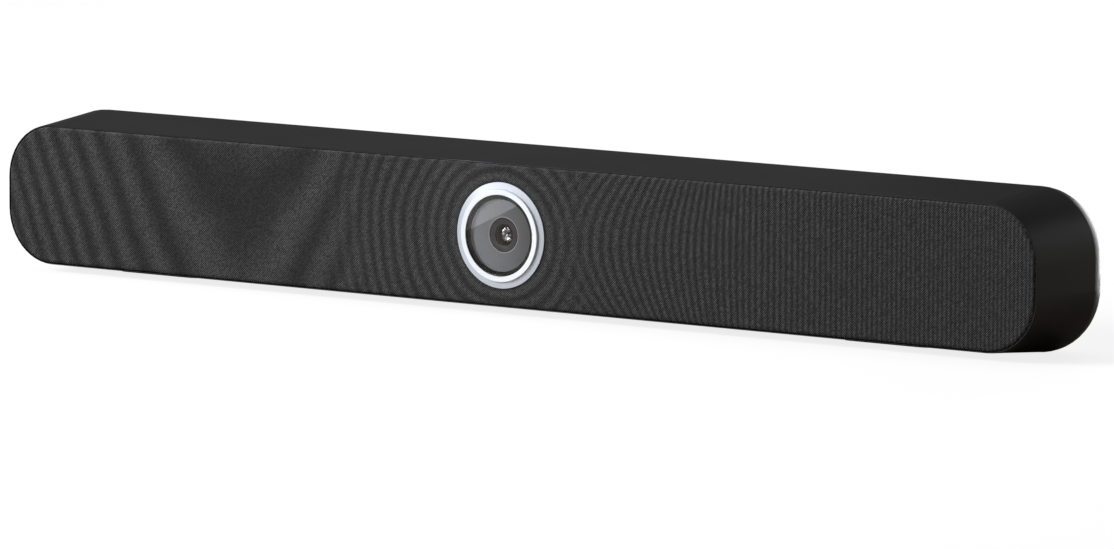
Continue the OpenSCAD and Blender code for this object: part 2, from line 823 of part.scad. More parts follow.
module bezel_ring() {
    color("#cdd1d4") turned() polygon([
        [bezel_bore_r, bezel_out_d], [bezel_tube_r, bezel_out_d], [bezel_r, -cloth_t - bezel_edge_t],
        [bezel_r, -cloth_t], [bezel_tube_r, -cloth_t], [bezel_tube_r, baffle_d], [bezel_bore_r, baffle_d]
    ]);
}

module trim_ring() {
    skirt_r = bezel_bore_r - slip_gap / 2;
    color("#e6e9eb") turned() polygon([
        [trim_bore_r, trim_out_d], [trim_r - rim_break, trim_out_d], [trim_r, trim_out_d + rim_break],
        [trim_r, bezel_out_d], [skirt_r, bezel_out_d], [skirt_r, seat_in_d],
        [trim_bore_r - trim_seat_w, seat_in_d], [trim_bore_r - trim_seat_w, seat_out_d],
        [trim_bore_r, seat_out_d]
    ]);
}

module cover_glass() {
    color("#9fb0bb", 0.35) rod(0, 0, glass_out_d, trim_bore_r - slip_gap / 2, glass_t);
}

module glass_border() {
    color("#101012") difference() {
        rod(0, 0, glass_in_d, trim_bore_r - slip_gap / 2, mask_t);
        rod(0, 0, glass_in_d - cut, window_r, mask_t + 2 * cut);
    }
}

module camera_dish() {
    seat_r = trim_bore_r - trim_seat_w;
    color("#77787c") turned() polygon([
        [lens_hole_r, seat_in_d + dish_sink], [lens_hole_r + rim_break, seat_in_d + dish_sink - rim_break],
        [seat_r, seat_in_d], [carrier_r, seat_in_d],
        [carrier_r, seat_in_d + dish_t], [seat_r, seat_in_d + dish_t],
        [lens_hole_r, seat_in_d + dish_sink + dish_t]
    ]);
}

// A lens of radius r: front and rear faces bulge by front and rear from the rim between them
module lens(r, d, rim, front, rear) {
    front_ball = (r * r + front * front) / (2 * front);
    rear_ball = (r * r + rear * rear) / (2 * rear);
    turned() intersection() {
        translate([0, d]) square([r, front + rim + rear]);
        translate([0, d + front_ball]) circle(front_ball, $fn = lens_fine);
        translate([0, d + front + rim + rear - rear_ball]) circle(rear_ball, $fn = lens_fine);
    }
}

module lens_barrel() {
    throat_r = lens_r - rim_break;
    color("#161618") turned() difference() {
        translate([lens_r - 2 * lens_wall, barrel_d]) square([barrel_r - lens_r + 2 * lens_wall, barrel_len]);
        polygon([
            [0, barrel_d - cut], [barrel_r - rim_break, barrel_d - cut], [barrel_r - rim_break, barrel_d],
            [lens_r + screw_gap, lens_front_d + front_bulge], [lens_r + screw_gap, front_seat_d],
            [throat_r, front_seat_d], [throat_r, middle_d], [middle_r + screw_gap, middle_d],
            [middle_r + screw_gap, barrel_end_d + cut], [0, barrel_end_d + cut]
        ]);
    }
}
lens_wall = 0.9;
lens_fine = 240;
front_bulge = 1.2;
front_rim = 1.6;
front_rear = 0.6;
front_seat_d = lens_front_d + front_bulge + front_rim + front_rear;
middle_r = 4.9;
middle_d = front_seat_d + 3;
rear_gap = 2;

module front_lens() {
    color("#33405a", 0.6) lens(lens_r, lens_front_d, front_rim, front_bulge, front_rear);
}

module middle_lens() {
    color("#3b4a66", 0.6) lens(middle_r, middle_d, lens_wall, front_rear, front_rear);
}

module rear_lens() {
    rear_d = middle_d + lens_wall + 2 * front_rear + rear_gap;
    color("#3b4a66", 0.6) lens(middle_r, rear_d, lens_wall, front_rear, front_bulge);
}

module infrared_filter() {
    color("#c06a6a", 0.5) rod(0, 0, shelf_d, filter_r, filter_t);
}

module lens_mount() {
    tube_r = barrel_r + lens_wall + filter_t;
    cave_w = mount_w - 2 * mount_wall;
    color("#1b1b1d") difference() {
        union() {
            rod(0, 0, shelf_d - mount_reach, tube_r, mount_reach);
            plate(shelf_d - shelf_t, camera_board_d - shelf_d + shelf_t) square(mount_w, center = true);
        }
        rod(0, 0, shelf_d - mount_reach - cut, barrel_r + screw_gap, mount_reach + cut);
        rod(0, 0, shelf_d - cut, filter_r + screw_gap, filter_t + cut);
        rod(0, 0, shelf_d - cut, filter_hole_r, shelf_t + 2 * cut);
        plate(cave_d, sensor_cave_h + cut) square(cave_w, center = true);
    }
}
mount_reach = 7;
mount_wall = 3.6;

module image_sensor() {
    color("#3d5a63") plate(camera_board_d - sensor_t, sensor_t) square([sensor_w, sensor_h], center = true);
}
sensor_w = 11;
sensor_h = 9;
sensor_t = 1;

module camera_board() {
    color("#1f5c3a") difference() {
        plate(camera_board_d, board_t) square(camera_board_w, center = true);
        at_camera_posts() rod(0, 0, camera_board_d - cut, small_r + screw_gap, board_t + 2 * cut);
    }
}

module camera_carrier() {
    color("#8a8c90") difference() {
        union() {
            rod(0, 0, seat_in_d + dish_t, carrier_r, baffle_back_d + carrier_plate_t - seat_in_d - dish_t);
            plate(baffle_back_d, carrier_plate_t) round_rect(carrier_w, carrier_h, camera_post_r);
            at_camera_posts() rod(0, 0, baffle_back_d, camera_post_r, camera_board_d - baffle_back_d);
        }
        rod(0, 0, seat_in_d, carrier_r - carrier_tube_t,
            camera_board_d - seat_in_d - small_len - carrier_plate_t);
        at_camera_posts() rod(0, 0, camera_board_d - small_len, small_r + screw_gap, small_len + cut);
        at_carrier_screws() rod(0, 0, baffle_d, small_r + screw_gap, camera_board_d);
    }
}

module camera_flex() {
    low = -camera_board_w / 2 + slip_gap;
    tail = flex_w;
    color("#b9772c") translate([-flex_w / 2, y_at(0), 0]) rotate([90, 0, 90]) linear_extrude(flex_w)
        polygon([
            [camera_back_d, low + tail / 4], [camera_back_d, low - flex_t], [board_d, low - flex_t],
            [board_d, low + tail / 2], [board_d - flex_t, low + tail / 2], [board_d - flex_t, low],
            [camera_back_d + flex_t, low], [camera_back_d + flex_t, low + tail / 4]
        ]);
}
flex_w = 14;
flex_t = 0.3;

// Loudspeakers

module basket_profile() {
    polygon([
        [flange_in_r, flange_d], [speaker_r, flange_d], [speaker_r, flange_d + basket_wall],
        [flange_in_r + basket_wall, flange_d + basket_wall], [basket_low_r + basket_wall, spider_d],
        [basket_low_r + basket_wall, top_plate_d], [gap_r + coil_wall, top_plate_d],
        [gap_r + coil_wall, basket_floor_d], [spider_out_r - basket_wall, basket_floor_d],
        [spider_out_r - basket_wall, spider_d + spider_t], [basket_low_r, spider_d + spider_t],
        [basket_low_r, spider_d]
    ]);
}

module speaker_baskets() {
    window_w = 9;
    color("#2f3033") at_speakers() difference() {
        turned() basket_profile();
        for (a = [0:60:300]) translate([0, y_at(flange_d + 2 * basket_wall), 0]) rotate([0, a, 0])
            translate([basket_low_r - basket_wall, 0, -window_w / 2])
                cube([flange_in_r - basket_low_r + 4 * basket_wall,
                    spider_d - flange_d - 3 * basket_wall, window_w]);
        at_speaker_screws() {
            rod(0, 0, flange_d - cut, small_r + screw_gap, basket_wall + 2 * cut);
            rod(0, 0, flange_d + basket_wall, small_head_r + slip_gap, small_head_t + cut);
        }
    }
}

module speaker_gaskets() {
    color("#121213") at_speakers() difference() {
        rod(0, 0, baffle_back_d, speaker_r, gasket_t);
        rod(0, 0, baffle_back_d - cut, lip_out_r + slip_gap, gasket_t + 2 * cut);
        at_speaker_screws() rod(0, 0, baffle_back_d - cut, small_r + screw_gap, gasket_t + 2 * cut);
    }
}

module speaker_surrounds() {
    centre_r = cone_r + air_gap + roll_r;
    color("#0d0d0e") at_speakers() turned() {
        intersection() {
            difference() {
                translate([centre_r, flange_d]) circle(roll_r);
                translate([centre_r, flange_d]) circle(roll_r - lip_t);
            }
            translate([cone_r, flange_d - 2 * roll_r]) square([4 * roll_r, 2 * roll_r]);
        }
        translate([centre_r + roll_r - lip_t, flange_d - lip_t])
            square([lip_out_r - centre_r - roll_r + lip_t, lip_t]);
    }
}

module speaker_spiders() {
    step = (spider_out_r - gap_r) / spider_folds;
    color("#b98a3a") at_speakers() turned() polygon(concat(
        [for (i = [0:spider_folds]) [gap_r + i * step, spider_d - (i % 2) * spider_t]],
        [for (i = [spider_folds:-1:0]) [gap_r + i * step, spider_d + (1 - i % 2) * spider_t]]
    ));
}

module speaker_top_plates() {
    color("#b4b6b8") at_speakers() difference() {
        rod(0, 0, top_plate_d, magnet_r - slip_gap, pole_t);
        rod(0, 0, top_plate_d - cut, gap_r, pole_t + 2 * cut);
    }
}

module speaker_magnets() {
    color("#3a3a3d") at_speakers() difference() {
        rod(0, 0, magnet_d, magnet_r, magnet_t);
        rod(0, 0, magnet_d - cut, gap_r + 2 * coil_wall, magnet_t + 2 * cut);
    }
}

module speaker_yokes() {
    color("#b4b6b8") at_speakers() {
        rod(0, 0, yoke_d, magnet_r - slip_gap, pole_t);
        rod(0, 0, top_plate_d, pole_r, yoke_d - top_plate_d);
    }
}

module speaker_chambers() {
    color("#26262a") at_speakers() difference() {
        plate(chamber_d, chamber_depth) round_rect(chamber_w, chamber_h, 2 * chamber_wall);
        plate(chamber_d - cut, chamber_depth - chamber_wall + cut)
            round_rect(chamber_w - 2 * chamber_wall, chamber_h - 2 * chamber_wall, chamber_wall);
    }
}

module cone(side) {
    color("#19191a") turned(side * speaker_x) polygon([
        [cone_r, flange_d - cone_t], [cone_r, flange_d], [coil_r, neck_d], [coil_r, neck_d - 2 * cone_t]
    ]);
}

module dust_cap(side) {
    ball = coil_r;
    color("#101011") turned(side * speaker_x) intersection() {
        difference() {
            translate([0, coil_d + ball / 2]) circle(ball);
            translate([0, coil_d + ball / 2]) circle(ball - cone_t);
        }
        translate([0, coil_d - ball]) square([coil_r, ball]);
    }
}

module voice_coil(side) {
    color("#b06a34") turned(side * speaker_x)
        translate([coil_r - coil_wall, coil_d]) square([coil_wall, coil_len]);
}

module left_cone() { cone(-1); }
module left_dust_cap() { dust_cap(-1); }
module left_voice_coil() { voice_coil(-1); }
module right_cone() { cone(1); }
module right_dust_cap() { dust_cap(1); }
module right_voice_coil() { voice_coil(1); }

// Microphones

mic_board_h = 9;
mic_board_t = 1;
mic_w = 4;
mic_h = 3;
mic_t = 1.1;

module microphones() {
    color("#c9b27a") at_microphones()
        plate(baffle_back_d + mic_board_t, mic_t) square([mic_w, mic_h], center = true);
}

module microphone_boards() {
    mid = (mic_in_x + mic_out_x) / 2;
    color("#1f5c3a") difference() {
        for (x = sides) plate(baffle_back_d, mic_board_t)
            translate([x * mid, 0]) square([mic_out_x - mic_in_x + mic_board_h, mic_board_h], center = true);
        at_microphones() rod(0, 0, baffle_back_d - cut, mic_bore_r, mic_board_t + 2 * cut);
    }
}

module microphone_seals() {
    color("#0f0f10") at_microphones() difference() {
        rod(0, 0, grille_t, mic_seal_r, baffle_back_d - grille_t);
        rod(0, 0, grille_t - cut, mic_bore_r, baffle_back_d + 2 * cut);
    }
}

// Electronics

chip_w = 20;
chip_t = 1.4;
thermal_t = 0.6;
sink_w = 108;
sink_h = 23;
sink_base = 2.2;
fin_t = 1.4;
fin_d = 9;
sink_d = board_back_d + chip_t + thermal_t;

module main_board() {
    color("#1f5c3a") difference() {
        plate(board_d, board_t) square([board_w, board_h], center = true);
        at_board_posts() rod(0, 0, board_d - cut, small_r + screw_gap, board_t + 2 * cut);
    }
}

module processor() {
    color("#2d2f33") plate(board_back_d, chip_t) translate([0, vent_z]) square(chip_w, center = true);
}

module thermal_pad() {
    color("#6f8ba8") plate(board_back_d + chip_t, thermal_t)
        translate([0, vent_z]) square(chip_w, center = true);
}

module heat_sink() {
    color("#a9adb1") {
        plate(sink_d, sink_base) translate([0, vent_z]) square([sink_w, sink_h], center = true);
        for (i = [0:fin_count - 1])
            plate(sink_d + sink_base, fin_d)
                translate([(sink_w - fin_t) * (i / (fin_count - 1) - 1 / 2), vent_z])
                    square([fin_t, sink_h], center = true);
    }
}

module wireless_antennas() {
    antenna_d = 9;
    antenna_h = 42;
    edge = chamber_in_x + chamber_w;
    low_d = chamber_d + chamber_depth / 2;
    color("#c7a24a") for (x = sides) mirror([x < 0 ? 1 : 0, 0, 0])
        block([edge, low_d, -antenna_h / 2], [edge + mic_board_t, low_d + antenna_d, antenna_h / 2]);
}

// Sockets, all with their mouths level with the panel
jack_x = 46;
jack_w = 10;
jack_h = 11;
jack_bore_r = 3.2;
jack_pin_r = 1;
jack_hole = 9.5;
network_x = 24;
network_w = 16;
network_h = 13.6;
network_hole_w = 11.8;
network_hole_h = 8;
network_latch_w = 6;
network_latch_h = 2.2;
network_hole = 10;
display_x = 0;
display_w = 15;
display_h = 5.8;
display_wall = 0.5;
usb_c_x = -21;
usb_c_w = 9;
usb_c_h = 3.3;
usb_a_x = -43;
usb_a_w = 14.4;
usb_a_h = 7;
usb_a_wall = 0.8;
usb_wall = 0.35;
tongue_share = 0.78;
display_step_share = 0.33;
socket_hole = 8;

module stadium(w, h, grow) {
    square([w - h, h + 2 * grow], center = true);
    for (x = sides) translate([x * (w - h) / 2, 0]) circle(h / 2 + grow);
}

module display_outline(grow) {
    half = display_w / 2 + grow;
    rise = display_h / 2 + grow;
    step = rise * display_step_share;
    polygon([
        [-half, rise], [half, rise], [half, -step],
        [half - rise / 2, -rise], [rise / 2 - half, -rise], [-half, -step]
    ]);
}

// A metal or moulded socket: body outline and mouth outline are children 0 and 1, the tongue is child 2
module socket(hole) {
    difference() {
        plate(board_back_d, socket_len) children(0);
        plate(panel_out_d - hole, hole + cut) children(1);
    }
    plate(panel_out_d - hole - cut, hole) children(2);
}

module power_jack() {
    color("#1a1a1c") {
        difference() {
            plate(board_back_d, socket_len)
                translate([jack_x, bay_z]) square([jack_w, jack_h], center = true);
            rod(jack_x, bay_z, panel_out_d - jack_hole, jack_bore_r, jack_hole + cut);
        }
        rod(jack_x, bay_z, panel_out_d - jack_hole - cut, jack_pin_r, jack_hole);
    }
}

module display_socket() {
    color("#b9bcc0") translate([display_x, 0, bay_z]) socket(socket_hole) {
        display_outline(0);
        display_outline(-display_wall);
        square([display_w * tongue_share, display_wall * 2], center = true);
    }
}

module usb_c_socket() {
    color("#b9bcc0") translate([usb_c_x, 0, bay_z]) socket(socket_hole) {
        stadium(usb_c_w, usb_c_h, 0);
        stadium(usb_c_w, usb_c_h, -usb_wall);
        square([usb_c_w * tongue_share - usb_c_h / 4, usb_wall * 2], center = true);
    }
}

module usb_a_socket() {
    color("#b9bcc0") translate([usb_a_x, 0, bay_z]) socket(socket_hole) {
        square([usb_a_w, usb_a_h], center = true);
        square([usb_a_w - 2 * usb_a_wall, usb_a_h - 2 * usb_a_wall], center = true);
        translate([0, usb_a_wall * 3 / 2]) square([usb_a_w * tongue_share, usb_a_wall * 2], center = true);
    }
}

module network_socket() {
    color("#2a2a2d") difference() {
        plate(board_back_d, socket_len)
            translate([network_x, bay_z]) square([network_w, network_h], center = true);
        plate(panel_out_d - network_hole, network_hole + cut)
            translate([network_x, bay_z + network_latch_h / 2]) {
                square([network_hole_w, network_hole_h], center = true);
                translate([0, -(network_hole_h + network_latch_h) / 2])
                    square([network_latch_w, network_latch_h + cut], center = true);
            }
    }
}

// Button, switch and light at the right-hand end

module power_button() {
    color("#26262a") difference() {
        union() {
            intersection() {
                cover_body(0);
                cross_rod(cap_in_x, button_d, button_z, button_r, body_w / 2 - cap_in_x);
            }
            cross_rod(cap_in_x, button_d, button_z, cap_flange_r, cap_flange_t);
        }
        difference() {
            cross_rod(side_pad_x, button_d, button_z, dimple_r, cover_round);
            cover_body(dimple_t);
        }
    }
}

module switch_plunger() {
    color("#d8d8d4")
        cross_rod(switch_top_x - plunger_grip, button_d, button_z, plunger_r, plunger_len + plunger_grip);
}

module power_switch() {
    color("#3a3a3e") difference() {
        block([side_board_x, button_d - switch_w / 2, button_z - switch_w / 2],
            [switch_top_x, button_d + switch_w / 2, button_z + switch_w / 2]);
        cross_rod(switch_top_x - plunger_grip - button_travel - slip_gap, button_d, button_z,
            plunger_r + slip_gap / 2, switch_h);
    }
}

module side_board() {
    color("#1f5c3a") block(
        [side_board_x - board_t, side_board_front_d, side_post_low - side_board_end],
        [side_board_x, side_board_rear_d, side_post_high + side_board_end]);
}

module status_light() {
    color("#dfe3e6", 0.8) {
        intersection() {
            cross_rod(side_board_x, button_d, light_z, light_r, body_w / 2 - side_board_x);
            cover_body(light_sink);
        }
        cross_rod(side_board_x, button_d, light_z, light_r, side_pad_x - side_board_x + cut);
    }
}

shell_sleeve();
rear_cover();
port_panel();
lock_plate();
cover_screws();
bracket_inserts();
rest_pads();
grille_carrier();
grille_cloth();
front_baffle();
inner_screws();
bezel_ring();
trim_ring();
cover_glass();
glass_border();
camera_dish();
lens_barrel();
front_lens();
middle_lens();
rear_lens();
infrared_filter();
lens_mount();
image_sensor();
camera_board();
camera_carrier();
camera_flex();
speaker_baskets();
speaker_gaskets();
speaker_surrounds();
speaker_spiders();
speaker_top_plates();
speaker_magnets();
speaker_yokes();
speaker_chambers();
left_cone();
left_dust_cap();
left_voice_coil();
right_cone();
right_dust_cap();
right_voice_coil();
microphones();
microphone_boards();
microphone_seals();
main_board();
processor();
thermal_pad();
heat_sink();
wireless_antennas();
power_jack();
display_socket();
usb_c_socket();
usb_a_socket();
network_socket();
power_button();
switch_plunger();
power_switch();
side_board();
status_light();
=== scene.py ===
# %% [markdown]
# # A conference camera, dressed for its portrait
# A video bar is a long flared sleeve with a stretched cloth front, a camera behind a round window at its
# middle, and a rounded rear cover. The solid model already gives every piece its true size and place.
# Here the pieces get their finishes, the cloth is made anew as a real sheet, and the small details that a
# solid model leaves out are added.

# %% Load the frame
import json
import math
import bmesh
import bpy
from mathutils import Matrix, Vector


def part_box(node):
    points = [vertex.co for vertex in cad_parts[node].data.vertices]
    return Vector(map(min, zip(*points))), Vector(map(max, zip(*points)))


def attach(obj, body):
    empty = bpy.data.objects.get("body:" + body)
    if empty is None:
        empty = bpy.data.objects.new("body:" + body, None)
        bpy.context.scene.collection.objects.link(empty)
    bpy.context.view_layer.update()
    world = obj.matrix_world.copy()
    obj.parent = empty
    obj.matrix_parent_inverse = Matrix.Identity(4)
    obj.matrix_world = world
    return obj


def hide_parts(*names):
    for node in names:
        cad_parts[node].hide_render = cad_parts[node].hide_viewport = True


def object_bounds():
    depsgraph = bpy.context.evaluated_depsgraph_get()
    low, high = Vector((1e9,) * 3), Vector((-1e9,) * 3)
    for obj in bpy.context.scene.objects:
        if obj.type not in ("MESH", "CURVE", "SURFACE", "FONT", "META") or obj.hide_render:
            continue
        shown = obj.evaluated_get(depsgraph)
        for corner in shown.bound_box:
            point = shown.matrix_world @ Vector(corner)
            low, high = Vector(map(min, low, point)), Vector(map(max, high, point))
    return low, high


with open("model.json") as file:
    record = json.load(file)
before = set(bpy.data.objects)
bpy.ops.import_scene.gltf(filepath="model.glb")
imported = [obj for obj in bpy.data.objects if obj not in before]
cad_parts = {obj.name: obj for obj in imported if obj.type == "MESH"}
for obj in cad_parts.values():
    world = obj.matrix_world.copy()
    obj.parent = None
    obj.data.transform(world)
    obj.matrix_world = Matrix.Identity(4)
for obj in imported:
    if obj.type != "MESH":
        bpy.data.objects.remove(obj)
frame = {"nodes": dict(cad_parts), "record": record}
solid_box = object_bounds()
MM = 0.001  # a millimetre in Blender's metres

# %% [markdown]
# ## Where the pieces lie
# The front rim is the plane from which every depth is counted, towards the rear. Its place and the cloth's
# could be typed in. Measuring them on the solids keeps each new piece on what carries it.

# %% Measure the solids
rim_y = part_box("shell_sleeve")[0].y
cloth_low, cloth_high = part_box("grille_cloth")
cloth_front = cloth_low.y
print("front rim at", round(rim_y / MM, 2), "cloth face at", round(cloth_front / MM, 2))

# %% [markdown]
# ## From a mesh to a piece
# A bmesh is a workbench where operators shape a mesh. To be seen, the mesh needs an object in the scene,
# and to move with the bar, the object has to ride on a body. Doing this in one helper for every piece is
# shorter than doing it each time, and leaves none behind. An edge sharper than 32 degrees can be kept
# crisp while the rest of the piece is shaded smooth.

# %% The piece helpers
CRISP = math.radians(32)

def into_scene(bm, name, paint):
    """Ends a bmesh and leaves its shape in the scene as an object."""
    mesh = bpy.data.meshes.new(name)
    bm.to_mesh(mesh)
    bm.free()
    mesh.materials.append(paint)
    obj = bpy.data.objects.new(name, mesh)
    bpy.context.scene.collection.objects.link(obj)
    return obj

def piece(bm, name, paint, smooth=True, crisp=False):
    """A new piece of the bar, riding on its fixed body."""
    for face in bm.faces:
        face.smooth = smooth
    obj = into_scene(bm, name, paint)
    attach(obj, "bar")
    if crisp:
        obj.data.set_sharp_from_angle(angle=CRISP)
    return obj

def close_up(bm):
    """Merges the doubles that spinning leaves and turns every face outwards."""
    bmesh.ops.remove_doubles(bm, verts=bm.verts, dist=1e-7)
    bmesh.ops.recalc_face_normals(bm, faces=bm.faces)

# %% [markdown]
# ## The camera
# The bar is seen from its right, a little above its middle. A short lens from near by would make the far
# end much smaller than the near one. A long lens from about four metres away keeps them nearly equal, as
# in a catalogue picture.

# %% Place the camera
AZIMUTH, ELEVATION, TILT = math.radians(35.40), math.radians(7.15), math.radians(0.21)
DISTANCE, LENS = 4.12, 285.55
AIM = Vector((0.03177, rim_y, -0.01613))

level = math.cos(ELEVATION)
to_camera = Vector((math.sin(AZIMUTH) * level, -math.cos(AZIMUTH) * level, math.sin(ELEVATION)))
eye = bpy.data.cameras.new("portrait_lens")
eye.lens = LENS
eye.sensor_width = 36
eye.sensor_fit = "HORIZONTAL"
eye.clip_start, eye.clip_end = 0.1, 50
camera = bpy.data.objects.new("portrait_camera", eye)
bpy.context.scene.collection.objects.link(camera)
turn = to_camera.to_track_quat("Z", "Y").to_matrix().to_4x4()
camera.matrix_world = Matrix.Translation(AIM + to_camera * DISTANCE) @ turn @ Matrix.Rotation(TILT, 4, "Z")
camera_place = camera.matrix_world.translation.copy()
bpy.context.scene.camera = camera
bpy.context.scene.view_settings.view_transform = "Standard"
print("camera at", [round(c, 3) for c in camera_place])

# %% [markdown]
# ## Nodes without clutter
# A material is a web of nodes. In the editor each node is laid and wired by hand, and in code each takes
# several lines. These helpers lay a node and set or wire its inputs in one line, and let a sum over nodes
# be written as a sum.

# %% Lay and wire nodes
def feed(tree, node, inputs):
    """Sets each named input of a node to a value, or wires it to what it reads."""
    for key, value in inputs.items():
        value = getattr(value, "socket", value)
        if isinstance(value, bpy.types.NodeSocket):
            tree.links.new(value, node.inputs[key])
        else:
            node.inputs[key].default_value = value

def add_node(tree, kind, inputs=None, **settings):
    """Adds a node with its settings first, because some of them change which inputs it has."""
    node = tree.nodes.new("ShaderNode" + kind)
    for key, value in settings.items():
        setattr(node, key, value)
    feed(tree, node, inputs or {})
    return node

def new_material(name, principled=True):
    """A material and its node tree, with or without the usual shader."""
    mat = bpy.data.materials.new(name)
    mat.use_nodes = True
    if not principled:
        mat.node_tree.nodes.remove(mat.node_tree.nodes["Principled BSDF"])
    return mat, mat.node_tree

def show(tree, shader):
    """Makes a shader the surface of the material."""
    feed(tree, tree.nodes["Material Output"], {"Surface": shader.outputs[0]})

# %% Sums over nodes
class Value:
    """A number that a material works out at each point, so that sums read as sums."""

    def __init__(self, tree, socket):
        self.tree, self.socket = tree, socket

    def calc(self, kind, *others):
        """Any step of Blender's Math node, such as FLOOR or COSINE."""
        inputs = dict(enumerate((self, *others)))
        return Value(self.tree, add_node(self.tree, "Math", inputs, operation=kind).outputs[0])

    def __add__(self, other):
        return self.calc("ADD", other)

    def __sub__(self, other):
        return self.calc("SUBTRACT", other)

    def __mul__(self, other):
        return self.calc("MULTIPLY", other)

def noise(tree, place, scale, detail=2.0):
    """Cloudy numbers round 0.5, with scale clouds to the metre."""
    inputs = {"Vector": place, "Scale": scale, "Detail": detail}
    return Value(tree, add_node(tree, "TexNoise", inputs).outputs["Fac"])

def ramp(tree, value, start, end, low=0.0, high=1.0, kind="LINEAR"):
    """Goes from low to high while the value goes from start to end."""
    inputs = {"Value": value, "From Min": start, "From Max": end, "To Min": low, "To Max": high}
    return Value(tree, add_node(tree, "MapRange", inputs, interpolation_type=kind).outputs["Result"])

def tone(tree, share, first, second):
    """A colour between two others."""
    inputs = {"Factor": share, "A": (*first, 1), "B": (*second, 1)}
    return add_node(tree, "Mix", inputs, data_type="RGBA").outputs["Result"]

# %% [markdown]
# ## Finishes
# No real surface is one flat colour. Paint has a fine orange-peel, moulded plastic a spark-eroded grain,
# and turned metal fine rings. Photographs of such surfaces would blur close by and repeat, so they are
# drawn with two noises: a fine one for the grain and a broad one for the slow change of tone and gloss
# that moulding and handling leave. Stretching the noises turns grain into brush marks. A finish can also
# have painted shade, darker from one place to another across the bar, standing in for a falloff of light.

# %% The finish helper
COAT_ROUGH = 0.12        # a clear coat, a little duller than glass
BROAD = 14               # scale of the slow change: one wave in about 70 mm
GRAIN_DEEP = 0.05 * MM   # depth of the grain

def painted_falloff_across(tree, paint, where, across):
    """Paints shade into a tone along the bar, in place of light falling off: from x, to x in mm, and the
    factor at each.
    """
    start, end, low, high = across
    x = add_node(tree, "SeparateXYZ", {"Vector": where}).outputs["X"]
    factor = ramp(tree, x, start * MM, end * MM, low, high)
    return add_node(tree, "VectorMath", {0: paint, "Scale": factor}, operation="SCALE").outputs[0]

def finish(name, colour, rough, metal=0.0, grain=900.0, bump=0.15, drift=0.12, stretch=(1, 1, 1),
           coat=0.0, specular=0.5, across=None):
    """A surface with a fine grain, whose tone and gloss drift slowly. across, when given, is painted shade
    along the bar, as in the helper above.
    """
    mat, tree = new_material(name)
    where = add_node(tree, "TexCoord").outputs["Object"]
    place = add_node(tree, "Mapping", {"Vector": where, "Scale": stretch}).outputs["Vector"]
    fine, broad = noise(tree, place, grain, 3), noise(tree, place, BROAD, 4)
    dark = [c * (1 - drift) for c in colour]
    light = [min(1.0, c * (1 + drift)) for c in colour]
    paint = tone(tree, fine * 0.5 + broad * 0.5, dark, light)
    # painted shade along the bar, when across is given
    if across:
        paint = painted_falloff_across(tree, paint, where, across)
    relief = add_node(tree, "Bump", {"Strength": bump, "Distance": GRAIN_DEEP, "Height": fine})
    feed(tree, tree.nodes["Principled BSDF"], {
        "Base Color": paint,
        "Metallic": metal,
        "Roughness": ramp(tree, broad, 0.3, 0.7, rough * 0.9, min(1.0, rough * 1.1)),
        "Specular IOR Level": specular,
        "Coat Weight": coat,
        "Coat Roughness": COAT_ROUGH,
        "Normal": relief.outputs["Normal"],
    })
    return mat

# %% [markdown]
# ### Outside and rear
# The record names a slot for each kind of surface, and every solid takes the finish of its slot. The
# sleeve is powder-coated and hardly shines, the rear cover is moulded with a spark-eroded grain, and its
# screws, inserts and pads are plain hardware. Naming a finish for each slot, not for each piece, keeps
# equal pieces equal.

# %% Outside and rear finishes
finishes = {
    "housing": finish("housing_powder_coat", (0.0095, 0.0095, 0.0098), 0.40, grain=2200, bump=0.10,
                      specular=0.40),
    "cover": finish("cover_moulding", (0.024, 0.024, 0.025), 0.40, grain=2600, bump=0.18),
    "panel": finish("panel_moulding", (0.010, 0.010, 0.011), 0.55, grain=2600, bump=0.2),
    "steel": finish("plated_steel", (0.55, 0.56, 0.58), 0.30, metal=1.0, stretch=(1, 1, 9), grain=700),
    "dark_screw": finish("blackened_screw", (0.05, 0.05, 0.052), 0.38, metal=1.0, grain=2500),
    "screw_steel": finish("zinc_screw", (0.60, 0.61, 0.63), 0.28, metal=1.0, grain=2500),
    "brass_insert": finish("turned_brass", (0.66, 0.46, 0.20), 0.28, metal=1.0, grain=2500),
    "brass_can": finish("microphone_can", (0.72, 0.58, 0.32), 0.3, metal=1.0, grain=2500),
    "pad_rubber": finish("pad_rubber", (0.012, 0.012, 0.012), 0.8, grain=1500, bump=0.35),
    "grille": finish("grille_moulding", (0.018, 0.018, 0.018), 0.6, grain=1800),
    "inner_plastic": finish("inner_moulding", (0.030, 0.030, 0.032), 0.55, grain=1600, bump=0.2),
}
print("outside and rear finishes:", len(finishes))

# %% [markdown]
# ### Round the camera
# The dish round the lens is sprayed grey. It lies deep behind the window, and the light falls off across
# it, which lamps alone don't show so clearly on so small a piece. Its tone is darkened towards one side
# instead. The border is ink printed behind the glass, and the barrel is anodised black.

# %% Camera finishes
finishes.update({
    "border_ink": finish("glass_border_ink", (0.0065, 0.0085, 0.0085), 0.35, grain=3000, bump=0.02),
    # painted shade: the dish's tone falls from 1.10 to 0.44 of itself from left to right, in place of the
    # light falling off across it
    "dish": finish("dish_paint", (0.44, 0.485, 0.555), 0.50, grain=3000, bump=0.05, drift=0.06,
                   across=(-14, 14, 1.10, 0.44)),
    "barrel": finish("barrel_black", (0.010, 0.010, 0.011), 0.35, grain=3000, bump=0.05),
    "sensor": finish("sensor_window", (0.03, 0.06, 0.08), 0.12, grain=4000, bump=0.02, coat=1.0),
    "board": finish("board_mask", (0.012, 0.075, 0.035), 0.32, grain=1300, bump=0.25, drift=0.3),
    "cast_metal": finish("cast_carrier", (0.36, 0.37, 0.39), 0.45, metal=1.0, grain=1500, bump=0.3),
    "flex": finish("flex_film", (0.38, 0.17, 0.045), 0.3, grain=1200, coat=0.4),
})
print("finishes so far:", len(finishes))

# %% [markdown]
# ### Loudspeakers
# A cone is pressed paper, its dust cap a coated film, its surround rubber and its spider a waxed cloth.
# They are hidden while the bar is whole, and are finished all the same, for whoever takes it apart.

